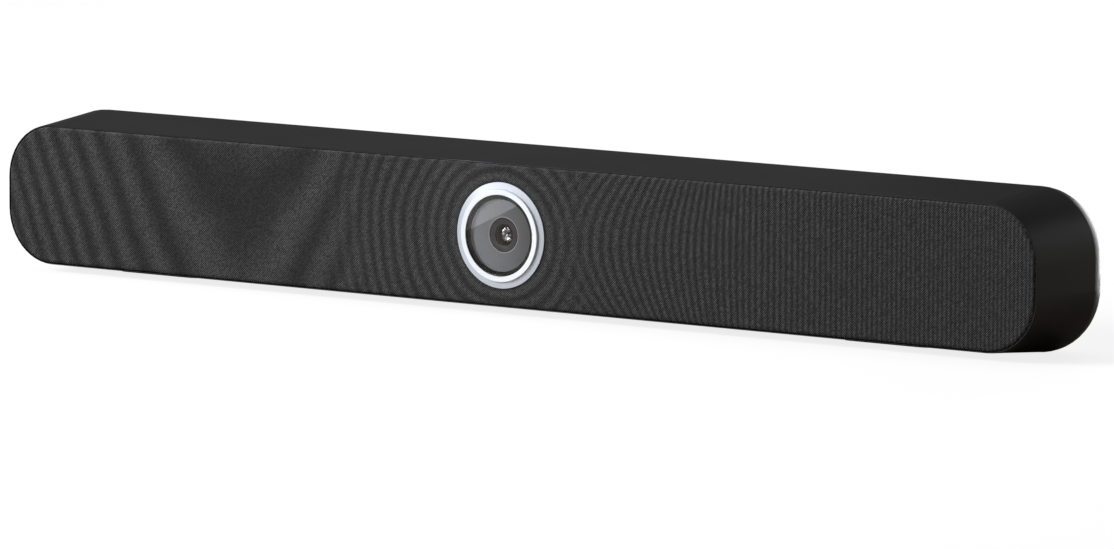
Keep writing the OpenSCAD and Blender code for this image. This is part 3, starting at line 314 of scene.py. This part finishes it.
# %% Loudspeaker finishes
finishes.update({
    "basket": finish("basket_paint", (0.02, 0.02, 0.022), 0.42, grain=1800),
    "soft_black": finish("black_rubber", (0.012, 0.012, 0.012), 0.7, grain=1500, bump=0.3),
    "spider": finish("spider_cloth", (0.40, 0.24, 0.08), 0.85, grain=1700, bump=0.6, drift=0.25),
    "magnet": finish("ferrite", (0.035, 0.035, 0.037), 0.62, grain=1200, bump=0.3),
    "cone": finish("cone_paper", (0.014, 0.014, 0.015), 0.75, grain=1500, bump=0.5),
    "dust_cap": finish("cap_film", (0.012, 0.012, 0.013), 0.25, grain=2000, coat=0.5),
    "coil": finish("lacquered_wire", (0.55, 0.22, 0.08), 0.28, metal=1.0, stretch=(1, 12, 1), grain=500,
                   bump=0.6),
})
print("finishes so far:", len(finishes))

# %% [markdown]
# ### Electronics, button and rings
# The satin outer ring and the bright inner ring are the palest pieces of the bar. Both are lacquered metal
# more than bare metal, so they are mostly painted, with a touch of metal for the sheen.

# %% Electronics, button and ring finishes
finishes.update({
    "chip": finish("chip_moulding", (0.012, 0.012, 0.013), 0.45, grain=2600),
    "thermal": finish("thermal_pad", (0.18, 0.30, 0.42), 0.8, grain=1400, bump=0.3),
    "sink": finish("extruded_fins", (0.50, 0.52, 0.54), 0.36, metal=1.0, stretch=(1, 9, 1), grain=800),
    "connector_black": finish("connector_moulding", (0.010, 0.010, 0.011), 0.4, grain=2200),
    "socket_metal": finish("nickel_shell", (0.60, 0.61, 0.62), 0.25, metal=1.0, grain=1800, bump=0.08),
    "button": finish("button_moulding", (0.010, 0.010, 0.011), 0.40, grain=2600, bump=0.12,
                     specular=0.2),
    "pale_plastic": finish("plunger_moulding", (0.62, 0.62, 0.58), 0.5, grain=1600),
    "satin_ring": finish("satin_ring", (0.49, 0.53, 0.60), 0.42, metal=0.15, grain=2600, bump=0.08,
                         drift=0.03),
    "bright_ring": finish("bright_ring", (0.85, 0.90, 0.96), 0.36, metal=0.15, grain=2600, bump=0.03,
                          drift=0.02),
})
print("finishes so far:", len(finishes))

# %% [markdown]
# ### Clear pieces
# The window and the lenses are clear. Blender's glass shader bends light as real glass does, and leaves
# what lies behind it dark and grainy. Thin glass lets most light straight through and mirrors a little of
# it, more towards grazing angles, so a transparent and a glossy shader are mixed by Fresnel instead.

# %% Glass
SMEAR = 40.0  # scale of the faint smears on a cleaned glass

def glass(name, tint, index, rough=0.01):
    """Lets light through in its tint, and mirrors the more, the higher its index."""
    mat, tree = new_material(name, principled=False)
    smear = noise(tree, add_node(tree, "TexCoord").outputs["Object"], SMEAR)
    colour = tone(tree, smear, [c * 0.97 for c in tint], tint)
    through = add_node(tree, "BsdfTransparent", {"Color": colour})
    mirror = add_node(tree, "BsdfGlossy", {"Roughness": ramp(tree, smear, 0, 1, rough, rough * 2)})
    edge = add_node(tree, "Fresnel", {"IOR": index})
    shaders = {"Fac": edge.outputs["Fac"], 1: through.outputs[0], 2: mirror.outputs[0]}
    show(tree, add_node(tree, "MixShader", shaders))
    return mat

finishes.update({
    "clear_glass": glass("window_glass", (0.985, 0.985, 0.985), 1.5),
    "lens_glass": glass("coated_lens", (0.82, 0.85, 0.94), 1.80),
    "filter_glass": glass("filter_glass", (0.80, 0.62, 0.62), 1.6),
    "light": glass("light_guide", (0.80, 0.82, 0.84), 1.5, rough=0.3),
})
print("finishes so far:", len(finishes))

# %% [markdown]
# ### Every solid gets its finish
# A solid keeps its mesh, and only the material in its slot is changed. Doing it by the record's list of
# slots takes one loop. Only the cloth solid is left out, because a real sheet takes its place.

# %% Finish every solid
slots = {part["node"]: part["material_slot"] for part in frame["record"]["subparts"]}
finished = [node for node in frame["nodes"] if slots[node] in finishes]
for node in finished:
    materials = frame["nodes"][node].data.materials
    materials.clear()
    materials.append(finishes[slots[node]])
print("finishes:", len(finishes), "solids that wear one:", len(finished))

# %% [markdown]
# ## The cloth front
# A fine twill is stretched over the perforated grille and folded round its edge. A flat plane with a hole
# wouldn't show the fold, and a cloth simulation isn't needed where the cloth is drawn tight. So the sheet
# starts as one circle whose four quarters are moved out to the corners, which makes the rounded outline.
# A bridge to a smaller circle leaves the hole for the camera.

# %% Sizes of the cloth
CLOTH_THICK = 0.6 * MM
FOLD_R = 1.8 * MM     # radius of the fold round the grille's edge
HEM = 4.0 * MM        # what lies behind the fold
OUT_R = 25.65 * MM    # radius of the four corners
HOLE_R = 22.35 * MM   # the hole ends under the satin ring
ROUND = 256           # steps in a full circle
CORNER_X, CORNER_Z = cloth_high.x - OUT_R, cloth_high.z - OUT_R
print("corner centres at", round(CORNER_X / MM, 2), "and", round(CORNER_Z / MM, 2), "mm")

# %% Cloth helpers
def circle(bm, radius, place=(0, 0, 0)):
    """A circle in the X-Z plane, turned by half a step so that no corner lies on an axis."""
    matrix = (Matrix.Translation(place) @ Matrix.Rotation(math.radians(90), 4, "X")
              @ Matrix.Rotation(math.pi / ROUND, 4, "Z"))
    return bmesh.ops.create_circle(bm, segments=ROUND, radius=radius, matrix=matrix)["verts"]

def loop_edges(bm, verts):
    """The edges that join the corners of a ring."""
    ring = set(verts)
    return [edge for edge in bm.edges if ring.issuperset(edge.verts)]

def extruded(bm, verts):
    """Extrudes a ring and gives the corners of the new one, which still lie on the old."""
    out = bmesh.ops.extrude_edge_only(bm, edges=loop_edges(bm, verts))
    return [made for made in out["geom"] if isinstance(made, bmesh.types.BMVert)]

def grow_ring(bm, verts, radius, depth):
    """Extrudes the outline and sets its new distance from the corner centres, and its depth."""
    new = extruded(bm, verts)
    for v in new:
        cx, cz = math.copysign(CORNER_X, v.co.x), math.copysign(CORNER_Z, v.co.z)
        arm = Vector((v.co.x - cx, v.co.z - cz)).normalized() * radius
        v.co = Vector((cx + arm.x, depth, cz + arm.y))
    return new

# %% [markdown]
# ### Cut and fold
# Bending a finished sheet would stretch it at the corners. Extruding its outline instead, 15 degrees of the
# fold at a time, gives every step its true distance from the corner centres.

# %% Cut and fold the cloth
bm = bmesh.new()
face_edge = circle(bm, OUT_R - FOLD_R)
for v in face_edge:
    v.co.x += math.copysign(CORNER_X, v.co.x)
    v.co.z += math.copysign(CORNER_Z, v.co.z)
    v.co.y = cloth_front
hole = circle(bm, HOLE_R, (0, cloth_front, 0))
bmesh.ops.bridge_loops(bm, edges=loop_edges(bm, face_edge) + loop_edges(bm, hole))

last = face_edge
for angle in range(15, 91, 15):
    a = math.radians(angle)
    last = grow_ring(bm, last, OUT_R - FOLD_R + FOLD_R * math.sin(a),
                     cloth_front + FOLD_R * (1 - math.cos(a)))
grow_ring(bm, last, OUT_R, cloth_front + CLOTH_THICK + HEM)
print("faces up to the hem:", len(bm.faces))

# %% [markdown]
# ### The lip of the hole
# Round the camera the cloth dips behind the satin ring and draws in a little at each step. The sheet is
# open, so Blender can't tell its front from its back. The way most of it faces settles that.

# %% Draw in the lip and face the cloth forwards
LIP_STEP, LIP_DRAW = 0.18 * MM, 0.002  # how far each step goes back, and the share that it draws in
last = hole
for k in (1, 2, 3):
    last = extruded(bm, last)
    for v in last:
        draw_in = 1 - LIP_DRAW * k
        v.co = Vector((v.co.x * draw_in, cloth_front + LIP_STEP * k, v.co.z * draw_in))
bmesh.ops.recalc_face_normals(bm, faces=bm.faces)
if sum(face.normal.y * face.calc_area() for face in bm.faces) > 0:
    bmesh.ops.reverse_faces(bm, faces=bm.faces)

cloth_area = sum(face.calc_area() for face in bm.faces)
fold = FOLD_R * math.pi / 2 + HEM + CLOTH_THICK - FOLD_R
flat_w = 2 * (CORNER_X + OUT_R - FOLD_R + fold)
flat_h = 2 * (CORNER_Z + OUT_R - FOLD_R + fold)
print("cloth cut", round(flat_w / MM, 1), "x", round(flat_h / MM, 1), "mm, area",
      round(cloth_area / MM ** 2), "mm2")

# %% [markdown]
# ### Its weave
# The twill shows as specks of black and pale yarn on a slanting grid, with a line every 0.8 mm. Real
# threads in mesh would be far too many, so the weave is drawn. The cloth is divided into cells along the
# lines, each cell draws its own tone of yarn from white noise, and the ridges between the lines give the
# relief.

# %% The yarns
LINES = (0.87, -0.89)    # lines of the twill per mm across x and z, rising to the right
FLOATS = (0.62, 0.88)    # floats of yarn per mm, along the lines
WAVER, WAVER_SCALE = 0.5, 45  # how far a line strays, in lines, and the scale of its straying
RELIEF = (0.45, 0.9)     # a ridge lightens the darkest yarn by the first, the palest by both together
GAP_RELIEF = 0.22        # the same for the floats along the lines
YARN_TONES = (0.45, 1.1)  # tone of the darkest yarn, and what the palest has beyond it
FULL_TURN = 2 * math.pi

def yarns(tree, where, x, z):
    """How pale the yarn is at each point, and the ridges of the twill."""
    waver = noise(tree, where, WAVER_SCALE) * WAVER - WAVER / 2  # no line of a real weave is straight
    line = x * LINES[0] + z * LINES[1] + waver
    floats = x * FLOATS[0] + z * FLOATS[1]
    cell = add_node(tree, "CombineXYZ", {"X": (line * 2).calc("FLOOR"), "Y": floats.calc("FLOOR")})
    drawn = add_node(tree, "TexWhiteNoise", {"Vector": cell.outputs[0]}, noise_dimensions="2D")
    yarn = Value(tree, drawn.outputs["Value"])
    ridge = (line * FULL_TURN).calc("COSINE")
    gap = (floats * FULL_TURN).calc("COSINE")
    weave = ridge * (yarn * RELIEF[1] + RELIEF[0]) + 1.0 + gap * GAP_RELIEF
    return (yarn * YARN_TONES[1] + YARN_TONES[0]) * weave, ridge

print("one line of the twill every", round(1 / math.hypot(*LINES), 2), "mm")

# %% [markdown]
# ### Its slow bands
# Over the fine weave run slow bands, as on watered silk: slanting on the left, in rings round the camera,
# and narrow and straight on the right. They could come from a second weave laid over the first, but then
# they would crawl with every change of picture size. As slow waves in the tone they stay in place.

# %% The bands
# lengths are in mm, and the phase of a band is an angle that grows by a full turn from band to band
WANDER, WANDER_SCALE = 3.0, 28   # how far the phase strays, and the scale of its straying
STRAYS = (0.9, 1.5, 0.35)        # the share of it that the bands, the rings and the stripes take
BANDS_MID = -155                 # the bands on the left are widest here, and lie closer away from it
BANDS_CLOSER, BANDS_LEAN, BANDS_FAN = 0.00256, 0.05, 0.0016
RING_WIDE = 6.5                  # from ring to ring round the camera
STRIPES, STRIPES_CLOSER, STRIPES_BOW = 0.62, 0.0041, 0.017
BOW_ENDS = (40, 150)             # the bow of the stripes on the right fades out between these
TO_RINGS, TO_STRIPES = (-110, -70), (25, 60)  # where one set of bands goes over into the next

def fade(tree, value, start, end):
    """0 before start, 1 after end, and a soft change between."""
    return ramp(tree, value, start, end, kind="SMOOTHSTEP")

def blend(tree, share, first, second):
    """A number between two others."""
    return Value(tree, add_node(tree, "Mix", {"Factor": share, "A": first, "B": second}).outputs["Result"])

def bands(tree, where, x, z):
    """A wave between -1 and 1, from the phases of three sets of bands. x and z are in mm."""
    wander = noise(tree, where, WANDER_SCALE) * WANDER - WANDER / 2
    # on the left, slanting bands that lean more, the further they are from their middle
    left = x - BANDS_MID
    lean = left.calc("ABSOLUTE") * z * BANDS_FAN + z * BANDS_LEAN
    slant = left * left * BANDS_CLOSER - math.pi / 2 - lean
    # round the camera, rings
    rings = (x * x + z * z).calc("SQRT") * (FULL_TURN / RING_WIDE)
    # on the right, stripes that are bowed near the camera, and grow straight and close away from it
    bowed = fade(tree, x, *BOW_ENDS) * -1 + 1
    stripe = x - z * z * STRIPES_BOW * bowed
    stripe = stripe * (stripe * STRIPES_CLOSER + STRIPES)
    waves = [(phase + wander * share).calc("SINE") for phase, share in zip((slant, rings, stripe), STRAYS)]
    wave = blend(tree, fade(tree, x, *TO_RINGS), waves[0], waves[1])
    return blend(tree, fade(tree, x, *TO_STRIPES), wave, waves[2])

print("a ring every", RING_WIDE, "mm")

# %% [markdown]
# ### The finished cloth
# Yarn, bands and a faint blotchiness are multiplied into one tone between black and pale. Round the rolled
# edge the tone is made paler, a painted highlight for the light that the fold catches. Solidify gives the
# sheet its thickness inwards, which leaves the measured face where it is, and the flat front is shaded flat
# so that the fold doesn't bend its light.

# %% The twill and the sheet
BLOTCH, BLOTCH_SCALE = 0.2, 9        # how much a blotch changes the tone, and the scale of the blotches
PALENESS, BAND_DEPTH = 0.19, 0.45    # share of pale in a middling yarn, and how much the bands change it
# the rolled edge's painted highlight: how much it adds to the pale share, and where it starts and ends behind
# the face
EDGE_HIGHLIGHT, EDGE_HIGHLIGHT_ENDS = 1.6, (0.1, 1.0)  # what the rolled edge adds to it, and mm behind the face, from and to

def twill(name, dark, pale):
    """The finish of the cloth, between the tones of its darkest and its palest yarn."""
    mat, tree = new_material(name)
    where = add_node(tree, "TexCoord").outputs["Object"]
    axes = add_node(tree, "SeparateXYZ", {"Vector": where}).outputs
    x, z = Value(tree, axes["X"]) * (1 / MM), Value(tree, axes["Z"]) * (1 / MM)
    pale_yarn, ridge = yarns(tree, where, x, z)
    blotch = noise(tree, where, BLOTCH_SCALE) * BLOTCH + (1 - BLOTCH / 2)
    # painted highlight: the pale share is raised along the rolled edge, for the light that its fold catches
    painted_edge_highlight = fade(tree, axes["Y"], *[cloth_front + depth * MM for depth in EDGE_HIGHLIGHT_ENDS])
    banded = pale_yarn * PALENESS * (bands(tree, where, x, z) * BAND_DEPTH + 1.0)
    share = banded * blotch * (painted_edge_highlight * EDGE_HIGHLIGHT + 1.0)
    relief = add_node(tree, "Bump", {"Strength": 0.5, "Distance": 0.1 * MM, "Height": ridge})
    feed(tree, tree.nodes["Principled BSDF"], {
        "Base Color": tone(tree, share, dark, pale),
        "Roughness": 0.85,
        "Specular IOR Level": 0.2,
        "Normal": relief.outputs["Normal"],
    })
    return mat

speckled = twill("speckled_twill", (0.003, 0.003, 0.0032), (0.160, 0.163, 0.174))
cloth = piece(bm, "front_cloth", speckled)
for face in cloth.data.polygons:
    if face.normal.y < -0.9999:
        face.use_smooth = False
thick = cloth.modifiers.new("thickness", "SOLIDIFY")
thick.thickness = CLOTH_THICK
thick.offset = -1
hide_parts("grille_cloth")
print("cloth faces:", len(cloth.data.polygons))

# %% [markdown]
# ## The lens behind the window
# The front of the lens is what the eye looks for in a camera. A dark ring with a rounded nose holds a
# strongly domed front lens, and the grey dish ends round them in a fine edge with a painted highlight. All
# three are round about one axis, so each is half of its section, spun once round. That is exact, and the
# section is as easy to read as a workshop drawing.

# %% The spinning helper
def spin_round(bm, outline, centre, steps):
    """Spins an outline once round an axis along the bar's depth."""
    bmesh.ops.spin(bm, geom=outline, cent=centre, axis=(0, 1, 0), angle=FULL_TURN, steps=steps, use_merge=True)

def spun(name, section, paint):
    """A piece from its section: radii, and depths behind the front rim, in mm."""
    bm = bmesh.new()
    verts = [bm.verts.new((radius * MM, rim_y + depth * MM, 0)) for radius, depth in section]
    edges = [bm.edges.new(pair) for pair in zip(verts, verts[1:])]
    if section[0][0] > 0:  # a ring's section is closed, a lens's begins and ends on the axis
        edges.append(bm.edges.new((verts[-1], verts[0])))
    spin_round(bm, verts + edges, (0, 0, 0), 128)
    close_up(bm)
    return piece(bm, name, paint, crisp=True)

# %% [markdown]
# ### The nose ring
# It is turned from black metal. Its face falls a little from the bevelled rim to the rounded bore that
# holds the lens, so the light changes slowly across it. A plain tube would be quicker, but its face would be
# one flat tone.

# %% The nose ring
NOSE_R = 7.72                   # outer radius of the nose ring
LENS_R, LENS_D = 5.05, 1.95     # radius of the front lens, and how deep its rim lies
seat = LENS_R + 0.03            # the bore that holds it
spun("lens_nose_ring",
     [(NOSE_R, 1.98), (NOSE_R, 1.72), (NOSE_R - 0.14, 1.58), (5.40, 1.66), (5.22, 1.76),
      (seat, 2.05), (seat, 3.0), (5.9, 3.0)],
     finish("nose_ring_satin", (0.044, 0.050, 0.070), 0.50, grain=3000, bump=0.04))
print("nose ring", 2 * NOSE_R, "mm across")

# %% [markdown]
# ### The domed front lens
# A wide-angle lens begins with a strongly curved glass. A flattened ball would be too steep at its rim. So
# the section follows a true arc from the axis to the rim, and a shallow curve closes it behind.

# %% The domed front lens
DOME_R = 9.0                    # radius of the dome's curve
rise = DOME_R - math.sqrt(DOME_R ** 2 - LENS_R ** 2)
dome_angles = [math.asin(LENS_R / DOME_R) * k / 16 for k in range(17)]
dome = [(DOME_R * math.sin(a), LENS_D - rise + DOME_R * (1 - math.cos(a))) for a in dome_angles]
back_shares = [1 - k / 8 for k in range(9)]
back = [(LENS_R * share, LENS_D + 0.9 - 0.5 * (1 - share ** 2)) for share in back_shares]
front_lens = spun("front_element", dome + back,
                  glass("coated_front_lens", (0.86, 0.88, 0.96), 2.1))
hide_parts("front_lens")
print("dome rises", round(rise, 2), "mm")

# %% [markdown]
# ### The light edge of the dish
# Where the dish ends at its hole, its edge catches the light all round. The edge is only half a millimetre
# wide, too fine for the grey paint's pattern, so it is a slim ring of its own, with that light painted in
# as a highlight: a paint much paler than the dish.

# %% The light edge of the dish
# painted highlight: the edge's paint is far paler than the dish, for the light that the edge catches
spun("dish_edge", [(8.14, 1.62), (8.14, 1.38), (8.26, 1.27), (8.52, 1.25), (8.66, 1.33), (8.66, 1.60)],
     finish("dish_edge_painted_highlight", (0.80, 0.82, 0.85), 0.45, grain=3000, bump=0.02))
print("lens pieces: 3")

# %% [markdown]
# ## Contacts
# The tongues of the sockets carry gilt contacts, which show only from close by. Each is a thin strip, and
# the strips of a socket are alike, so a row is placed by its number and pitch about the middle of the
# socket that carries it. Building a whole row as one piece keeps the list of pieces short.

# %% Contact strips
def block(bm, low, high, lean=0.0):
    """A box between two corners in mm, leaned about its own middle."""
    mid, size = (Vector(low) + Vector(high)) / 2, Vector(high) - Vector(low)
    place = Matrix.Translation(mid * MM) @ Matrix.Rotation(lean, 4, "X") @ Matrix.Diagonal((*(size * MM), 1))
    bmesh.ops.create_cube(bm, size=1, matrix=place)

def contact_row(socket, count, pitch, width, depths, heights, lean=0.0):
    """A row of contacts: depths are their two ends in y, heights the two faces of each layer in z."""
    low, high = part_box(socket)
    middle = ((low + high) / 2 / MM).x
    bm = bmesh.new()
    for bottom, top in heights:
        for k in range(count):
            x = middle + (k - (count - 1) / 2) * pitch
            block(bm, (x - width / 2, depths[0], bottom), (x + width / 2, depths[1], top), lean)
    piece(bm, socket.replace("socket", "contacts"), gilt, smooth=False)

gilt = finish("gilt_contacts", (0.83, 0.60, 0.26), 0.24, metal=1.0, grain=2500, bump=0.05)
TONGUE = (-12.7, -6.3)  # the contacts' two ends in y
contact_row("usb_a_socket", 4, 2.5, 1.0, TONGUE, [(-12.18, -12.10)])
contact_row("usb_c_socket", 12, 0.48, 0.24, TONGUE, [(-12.90, -12.85), (-12.15, -12.10)])
contact_row("display_socket", 10, 1.0, 0.42, TONGUE, [(-13.05, -13.00), (-12.00, -11.95)])
contact_row("network_socket", 8, 1.02, 0.36, (-13.6, -6.4), [(-8.70, -8.45)], lean=math.radians(17))
print("rows of contacts: 4")

# %% [markdown]
# ## Threads
# The four bracket inserts are M4, with a pitch of 0.7 mm. A true helix would have open ends to close, and
# nobody can tell it from a stack of rings down a hole this deep. Each turn is a small triangle spun round
# the axis of its insert.

# %% The insert threads
PITCH, TURNS = 0.7, 9
CREST, ROOT = 1.40, 1.64         # radii of the thread
FIRST_Y, HALF_TURN = -0.55, 0.3  # where the first turn stands, and half its width at the root
INSERT_X, INSERT_Z = 100, 12     # the inserts lie this far each way from the middle
bm = bmesh.new()
for x in (-INSERT_X, INSERT_X):
    for z in (-INSERT_Z, INSERT_Z):
        for k in range(TURNS):
            y = FIRST_Y - PITCH * k
            corners = ((x + ROOT, y - HALF_TURN, z), (x + CREST, y, z), (x + ROOT, y + HALF_TURN, z))
            verts = [bm.verts.new(Vector(c) * MM) for c in corners]
            edges = [bm.edges.new((verts[i], verts[(i + 1) % 3])) for i in range(3)]
            spin_round(bm, verts + edges, Vector((x, 0, z)) * MM, 48)
close_up(bm)
piece(bm, "insert_threads", finishes["brass_insert"], crisp=True)
print("threads:", 4 * TURNS, "turns")

# %% [markdown]
# ## Screw drives
# The cover screws have six-lobed heads. The lobes could be cut out, but a solid keeps its mesh. So six small
# pins stand round the socket of each head, and what is left between them reads as the star.

# %% The screw drives
SCREW_X, SCREW_Z = (-262, -86, 86, 262), (-26, 26)
LOBE_R, LOBE_DEEP = 0.42 * MM, 0.86 * MM
LOBE_RING, LOBE_MID = 1.46, 0.46  # how far the pins stand from the axis, and their middles from the face
head_y = (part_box("cover_screws")[1] / MM).y
bm = bmesh.new()
for x in SCREW_X:
    for z in SCREW_Z:
        for k in range(6):
            a = math.radians(60 * k + 30)
            lobe = Vector((x + LOBE_RING * math.cos(a), head_y - LOBE_MID, z + LOBE_RING * math.sin(a))) * MM
            place = Matrix.Translation(lobe) @ Matrix.Rotation(math.radians(90), 4, "X")
            bmesh.ops.create_cone(bm, cap_ends=True, segments=16, radius1=LOBE_R, radius2=LOBE_R,
                                  depth=LOBE_DEEP, matrix=place)
piece(bm, "screw_drives", finishes["dark_screw"], crisp=True)
print("screw heads:", len(SCREW_X) * len(SCREW_Z))

# %% [markdown]
# ## Floor and backdrop
# A catalogue picture stands on a white sweep. Lighting a floor until it is white would burn out the pale
# rings too. So the floor is matt for the light and glows a little for the camera, which lifts it to white
# and keeps the shadow. Polished surfaces see it dark, so that the underside of the bar stays black.

# %% The floor
def in_view(tree):
    """1 for what the camera sees, straight or through glass, and 0 for all other light."""
    path = add_node(tree, "LightPath").outputs
    return Value(tree, path["Is Camera Ray"]).calc("MAXIMUM", path["Is Transmission Ray"])

def sweep(name, pale, hidden, glow, share):
    """Pale and with a share of glow in view, and of the hidden colour for all other light."""
    mat, tree = new_material(name, principled=False)
    seen = in_view(tree)
    matt = add_node(tree, "BsdfDiffuse", {"Color": tone(tree, seen, hidden, (pale, pale, pale))})
    lamp = add_node(tree, "Emission", {"Strength": glow})
    shaders = {"Fac": seen * share, 1: matt.outputs[0], 2: lamp.outputs[0]}
    show(tree, add_node(tree, "MixShader", shaders))
    return mat

floor_z = solid_box[0].z
bm = bmesh.new()
bmesh.ops.create_grid(bm, x_segments=2, y_segments=2, size=6, matrix=Matrix.Translation((0, 0, floor_z)))
white_sweep = sweep("studio_sweep", pale=0.9, hidden=(0.36, 0.305, 0.25), glow=1.18, share=0.70)
floor = into_scene(bm, "studio_floor", white_sweep)
print("floor at", round(floor_z / MM, 2), "mm")

# %% [markdown]
# ### The world
# Beyond the floor the camera looks into the world. It shows white there too, and gives the bar only a
# faint even light, since a world that lights as brightly as it looks would wash the black paint grey.

# %% The world
IN_VIEW, AMBIENT = 1.05, 0.07
world = bpy.data.worlds.new("studio")
bpy.context.scene.world = world
world.use_nodes = True
room = world.node_tree
feed(room, room.nodes["Background"], {"Color": (1, 1, 1, 1), "Strength": in_view(room) * IN_VIEW + AMBIENT})
print("world light:", AMBIENT)

# %% [markdown]
# ## Soft boxes
# A large soft box stands before the bar and to its left, a wide one hangs overhead, one stands far behind
# and one fills in the right end. Small hard lamps would be simpler, but leave hard shadows and sharp
# spots on the rings. The box behind only lights: its image would show as a patch on the top.

# %% The lamps
def softbox(name, place, aim, size, power):
    """A rectangular lamp at a place, turned to what it is aimed at, with its power in watts."""
    data = bpy.data.lights.new(name, "AREA")
    data.shape = "RECTANGLE"
    data.size, data.size_y = size
    data.energy = power
    lamp = bpy.data.objects.new(name, data)
    bpy.context.scene.collection.objects.link(lamp)
    spot = Vector(place)
    turn = (spot - Vector(aim)).to_track_quat("Z", "Y").to_matrix().to_4x4()
    lamp.matrix_world = Matrix.Translation(spot) @ turn
    return lamp

MIDDLE, RIGHT_END = (0, 0, 0), (0.3, 0, 0)
softbox("key_box", (-1.5, -1.9, 1.1), MIDDLE, (1.3, 1.1), 80)
softbox("overhead_box", (-0.1, 0.3, 1.6), MIDDLE, (1.6, 0.8), 5)
rear_box = softbox("rear_box", (-0.9, 2.4, 1.3), MIDDLE, (1.2, 0.9), 16)
rear_box.visible_glossy = False
softbox("right_fill", (2.4, 2.0, 0.7), RIGHT_END, (3.4, 2.4), 5)

# %% [markdown]
# ## Cards for the mirror images
# What makes black paint, glass and a lens look polished is what they mirror. Studio photographers stand
# pale cards where a mirror image is wanted. So does this scene, with cards that only polished surfaces
# show, and the soft light stays as it is.

# %% Cards for the housing
def glow_card(name, corners, strength):
    """A bright card that only polished surfaces show."""
    bm = bmesh.new()
    bm.faces.new([bm.verts.new(c) for c in corners])
    mat, tree = new_material(name + "_glow", principled=False)
    show(tree, add_node(tree, "Emission", {"Strength": strength}))
    card = into_scene(bm, name, mat)
    card.visible_camera = card.visible_diffuse = card.visible_shadow = card.visible_transmission = False

# three low cards round the right end's rear, which its rounded rear edge mirrors
end, CARD_RING, CARD_HALF = Vector(RIGHT_END), 0.22, 6  # the ring's radius in m, half a card in degrees
foot, head = Vector((0, 0, floor_z + 0.001)), Vector((0, 0, 0.105))
for k, angle in enumerate((81, 93, 105)):
    near, far = [end + Vector((math.cos(a), math.sin(a), 0)) * CARD_RING
                 for a in (math.radians(angle - CARD_HALF), math.radians(angle + CARD_HALF))]
    glow_card("rear_card_" + str(k + 1), [near + foot, far + foot, far + head, near + head], 6.4)

# a long card behind, which the top mirrors up to a little before its right end
LEFT, RIGHT, BEHIND, LOW, HIGH = -1.6, -0.15, 0.5, 0.06, 0.50
glow_card("top_card", [(LEFT, BEHIND, LOW), (RIGHT, BEHIND, LOW),
                       (RIGHT, BEHIND, HIGH), (LEFT, BEHIND, HIGH)], 0.15)
print("cards for the housing: 4")

# %% [markdown]
# ### The slanting light in the window
# The window mirrors a card whose lower edge crosses the glass at a slant. Where that card has to stand
# follows from the mirror law: the line of sight, turned back at the glass, leads to it. The edge is given
# by two points on the glass, in mm, and carried out along that line.

# %% The card for the window
CARD_AWAY = 0.20
gaze = (camera_place - Vector((0, cloth_front, 0))).normalized()
mirrored = Vector((-gaze.x, gaze.y, -gaze.z))
glass_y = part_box("cover_glass")[0].y
edge_left, edge_right = Vector((-19.5, 0, 1.3)), Vector((12.5, 0, 16.6))
along = (edge_right - edge_left).normalized()
up = Vector((-along.z, 0, along.x))
window_image = Vector((0, glass_y, 0)) + mirrored * (CARD_AWAY / -mirrored.y)
OVER, HIGH_UP = 30, 60  # how far the card goes on past both points, and upwards
low_left, low_right = edge_left - along * OVER, edge_right + along * OVER
corners = [low_left, low_right, low_right + up * HIGH_UP, low_left + up * HIGH_UP]
glow_card("mirror_card", [window_image + c * MM for c in corners], 1.3)
print("window card", CARD_AWAY, "m away")

# %% [markdown]
# ### The glints on the lens
# The front lens mirrors small lights as glints. Placing lights by trial takes long, because a dome throws
# every ray another way. Here each glint is given by its place on the lens, and the mirror law at that
# point of the dome gives the place of its light.

# %% The lights for the glints
dome_centre = Vector((0, rim_y + (LENS_D - rise + DOME_R) * MM, 0))
SPREAD = 1.7  # half the width of a light at a distance of 1, for a glint as large as the dome's radius
AWAY_HIGH, AWAY_LOW = 0.05, 0.09  # how far the lights for the upper and the lower glints stand, in m
# each glint: x and z on the lens in mm, its size in mm, and its strength
glints = [(-1.0, 4.0, 0.55, 9), (-0.6, 3.1, 0.5, 7), (2.4, 3.7, 0.5, 7),
          (2.9, 3.0, 0.35, 6), (2.4, 0.2, 0.45, 5), (1.8, -1.1, 0.45, 6)]
for k, (glint_x, glint_z, size, strength) in enumerate(glints):
    on_lens = Vector((glint_x, 0, glint_z)) / DOME_R
    normal = Vector((on_lens.x, -math.sqrt(1 - on_lens.length_squared), on_lens.z))
    point = dome_centre + normal * DOME_R * MM
    look = (camera_place - point).normalized()
    way = 2 * normal.dot(look) * normal - look
    away = AWAY_HIGH if glint_z > 0 else AWAY_LOW
    half = size / DOME_R * away * SPREAD
    side = way.cross(Vector((0, 0, 1))).normalized() * half
    rising = side.cross(way).normalized() * half
    mid = point + way * away
    glow_card("glint_" + str(k + 1),
              [mid - side - rising, mid + side - rising, mid + side + rising, mid - side + rising], strength)
print("glints:", len(glints))

# %% [markdown]
# ### The card on the floor
# The lower sides of the rings and of the dome face the dark floor. A photographer lays a small card there.
# It lies close before the bar, where the window doesn't mirror it.

# %% The floor card
near_y, far_y, left_x, right_x = -0.155, -0.07, -0.13, 0.03
card_z = floor_z + 0.0005
glow_card("floor_card", [(left_x, near_y, card_z), (right_x, near_y, card_z),
                         (right_x, far_y, card_z), (left_x, far_y, card_z)], 1.6)
print("floor card", round((right_x - left_x) / MM), "mm wide")
